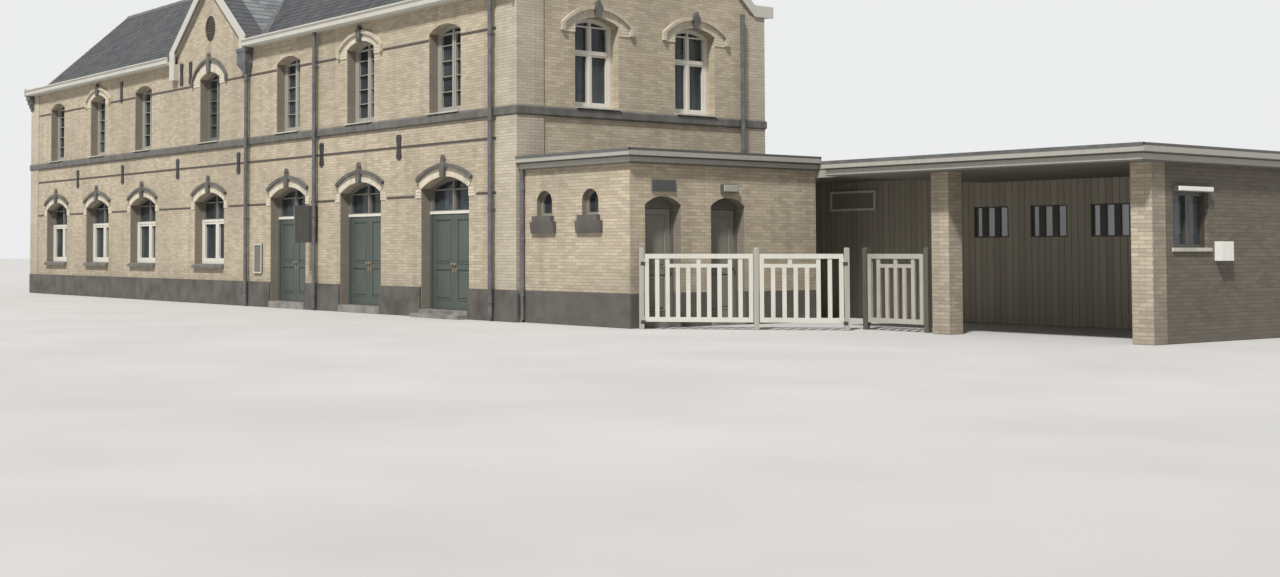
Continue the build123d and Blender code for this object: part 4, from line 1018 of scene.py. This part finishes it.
pipes = [(x, -PIPE_DEPTH, 1) for x in (GABLE_PIPE, MIDDLE_PIPE, -PIPE_EDGE)]
pipes += [(x, DEPTH + PIPE_DEPTH, -1) for x in (PIPE_EDGE - LENGTH, -PIPE_EDGE)]
collars = Mesh()
for x, y, wall_side in pipes:
    edges = sorted((y + wall_side * 0.045, y + wall_side * PIPE_DEPTH))
    for level in COLLAR_LEVELS:
        collars.turned((x, y, level), (0, 0, 1),
                       [(0.0, 0.051), (0.004, 0.06), (0.05, 0.06), (0.056, 0.051)])
        collars.box(x - 0.012, x + 0.012, edges[0], edges[1], level + 0.012, level + 0.04)
collars.finish("pipe_collars", ZINC, "zinc")

annex_pipe = Mesh()
pipe_x, pipe_y = 0.075, 0.068
annex_pipe.turned((pipe_x, pipe_y, 0.05), (0, 0, 1), [(0.0, 0.042), (2.95, 0.042)], 12)
for level in ANNEX_COLLAR_LEVELS:
    annex_pipe.turned((pipe_x, pipe_y, level), (0, 0, 1),
                      [(0.0, 0.044), (0.004, 0.051), (0.05, 0.051), (0.056, 0.044)], 12)
annex_pipe.finish("annex_downpipe", ZINC, "zinc")

hopper = Mesh()
left = CENTRE + GABLE_HALF - 0.28
right = CENTRE + GABLE_HALF + 0.19
lip = 0.03
rim, foot, outlet = 6.5, 6.2, 5.96
reach, lip_reach = 0.222, 0.235
hopper.box(left - lip, right + lip, -lip_reach, 0.0, rim, WALL_TOP - 0.002)
hopper.box(left, right, -reach, 0.0, foot, rim)
wide = [(left, -reach, foot), (right, -reach, foot), (right, 0.0, foot), (left, 0.0, foot)]
narrow = [(GABLE_PIPE + x, y, outlet) for x, y in ((-0.06, -0.19), (0.06, -0.19), (0.06, -0.06),
                                                   (-0.06, -0.06))]
hopper.solid(wide + narrow,
             [(0, 1, 2, 3), (7, 6, 5, 4), (0, 4, 5, 1), (1, 5, 6, 2), (2, 6, 7, 3), (3, 7, 4, 0)])
hopper.finish("gable_hopper", ZINC, "zinc")

kerb = Mesh()
kerb.box(ANNEX_SIDE, SHELTER_LEFT, PASSAGE_FRONT, PASSAGE_FRONT + KERB, *KERB_LEVELS)
kerb.finish("passage_roof_kerb", FELTED, "white_paint")

side_sill = Mesh()
side_sill.place = on_right(0)
side_sill.raised(*SIDE_SILL, -SHELTER_FACE, 0.035, 0.006)
side_sill.finish("side_window_sill", SILL_STONE, "light_brick")

roof_edges = Mesh()
sunk = 0.002
for node, sides in (("annex_roof", "frb"), ("shelter_roof", "flrb"), ("passage_roof", "b")):
    low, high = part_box(node)
    lip = high.z - ROOF_EDGE
    strips = {"f": (low.x, high.x, low.y - ROOF_EDGE_OVER, low.y + ROOF_EDGE, lip),
              "l": (low.x - ROOF_EDGE_OVER, low.x + ROOF_EDGE, low.y, high.y, lip),
              "r": (high.x - ROOF_EDGE, high.x, low.y, high.y, high.z - sunk),
              "b": (low.x, high.x, high.y - ROOF_EDGE, high.y, high.z - sunk)}
    for side in sides:
        roof_edges.box(*strips[side], high.z + ROOF_EDGE_TOP)
roof_edges.finish("zinc_roof_edges", ZINC, "zinc")

louvres = Mesh()
louvres.place = on_front(CENTRE)
for index in range(9):
    level = -0.3 + index * 0.075
    reach = 0.3 * math.sqrt(max(0.0, 1 - (level / VENT_RADIUS) ** 2)) - 0.012
    low = VENT_LEVEL + level
    if reach > 0.03:
        louvres.prism([(-reach, 0.012, low), (reach, 0.012, low), (reach, 0.05, low + 0.035),
                       (-reach, 0.05, low + 0.035)], (0, 0, 0.012))
louvres.finish("vent_louvres", IRON, "iron")


# Boards and lamps
passage_board = Mesh()
passage_board.framed(*PASSAGE_BOARD, PASSAGE_BOARD_FACE, 0.05, 0.012, 0.004)
# The frame takes the bright opal white in place of the white paint: painted light, so it reads lit inside
# the passage shade.
passage_board.finish("passage_board_frame", LAMP_OPAL_AND_LIT_WHITE, "white_paint")
papers = Mesh()
papers.raised(*NOTICE, NOTICE_FACE, 0.003, 0.001)
papers.finish("blank_notice", PAPER, "white_paint")
trims = Mesh()
trims.framed(*NOTICE_FRAME, NOTICE_FACE, 0.035, 0.012, 0.004)
trims.finish("board_frames", WHITE, "white_paint")

annex_lamp = Mesh()
annex_lamp.place = on_right(0)
annex_lamp.raised(*ANNEX_LAMP, -ANNEX_SIDE - LAMP_REACH, 0.012, 0.01)
annex_lamp.finish("annex_lamp_cover", SMALL_GATE_PAINT, "white_paint")
lamps = Mesh()
lamps.place = on_right(0)
lamps.raised(*SHELTER_LAMP, -SHELTER_FACE - LAMP_REACH, 0.014, 0.01)
lamps.finish("lamp_covers", LAMP_OPAL_AND_LIT_WHITE, "white_paint")


# Floor, light and camera
AMBIENT = 0.42
SUN_ENERGY = 4.1
SUN_FROM = Vector((0.3, -0.55, 0.78))
SUN_WIDTH = math.radians(6)
floor_finish = Finish("pale_floor", 0.85)
floor_tone = floor_finish.spread(floor_finish.noise(0.35, 6.0), 0.3, 0.7)
floor_tone = floor_finish.blend(floor_tone, rgb(180, 178, 174), rgb(190, 188, 184))
floor_mesh = bpy.data.meshes.new("floor")
corners = ((-1, -1), (1, -1), (1, 1), (-1, 1))
floor_mesh.from_pydata([(x * FLOOR_REACH, y * FLOOR_REACH, -0.004) for x, y in corners], [],
                       [(0, 1, 2, 3)])
floor_mesh.materials.append(floor_finish.colour(floor_tone))
floor = bpy.data.objects.new("floor", floor_mesh)
bpy.context.collection.objects.link(floor)

world = bpy.data.worlds.new("soft_sky")
bpy.context.scene.world = world
world.use_nodes = True
sky = world.node_tree
sky.nodes.clear()
light_path = sky.nodes.new("ShaderNodeLightPath")
seen = sky.nodes.new("ShaderNodeBackground")
seen.inputs[0].default_value = rgb(236, 237, 238)
seen.inputs[1].default_value = 1.0
lighting = sky.nodes.new("ShaderNodeBackground")
lighting.inputs[0].default_value = (0.96, 0.98, 1.0, 1.0)
lighting.inputs[1].default_value = AMBIENT
choice = sky.nodes.new("ShaderNodeMixShader")
backdrop = light_path.outputs["Is Camera Ray"]
for kind in ("Is Glossy Ray", "Is Transmission Ray"):
    either = sky.nodes.new("ShaderNodeMath")
    either.operation = "MAXIMUM"
    sky.links.new(backdrop, either.inputs[0])
    sky.links.new(light_path.outputs[kind], either.inputs[1])
    backdrop = either.outputs[0]
result = sky.nodes.new("ShaderNodeOutputWorld")
sky.links.new(backdrop, choice.inputs[0])
sky.links.new(lighting.outputs[0], choice.inputs[1])
sky.links.new(seen.outputs[0], choice.inputs[2])
sky.links.new(choice.outputs[0], result.inputs[0])

sun_data = bpy.data.lights.new("soft_sun", "SUN")
sun_data.energy = SUN_ENERGY
sun_data.angle = SUN_WIDTH
sun = bpy.data.objects.new("soft_sun", sun_data)
sun.rotation_mode = "QUATERNION"
sun.rotation_quaternion = SUN_FROM.to_track_quat("Z", "Y")
bpy.context.collection.objects.link(sun)

IMAGE_WIDTH = 1280
IMAGE_HEIGHT = 577
FOCAL_PIXELS = 1575
AXIS_X = 450
AXIS_Y = 190.5
HEADING = math.radians(55)
PITCH = math.radians(2.2)
EYE = (24.68, -18.90, 1.40)
SENSOR = 36
camera_data = bpy.data.cameras.new("street_camera")
camera_data.sensor_width = SENSOR
camera_data.lens = FOCAL_PIXELS * SENSOR / IMAGE_WIDTH
camera_data.shift_x = (IMAGE_WIDTH / 2 - AXIS_X) / IMAGE_WIDTH
camera_data.shift_y = (AXIS_Y - IMAGE_HEIGHT / 2) / IMAGE_WIDTH
camera_data.clip_end = 500
camera = bpy.data.objects.new("street_camera", camera_data)
camera.location = EYE
camera.rotation_euler = (math.pi / 2 + PITCH, 0, HEADING)
bpy.context.collection.objects.link(camera)
bpy.context.scene.camera = camera
bpy.context.scene.view_settings.view_transform = "Standard"
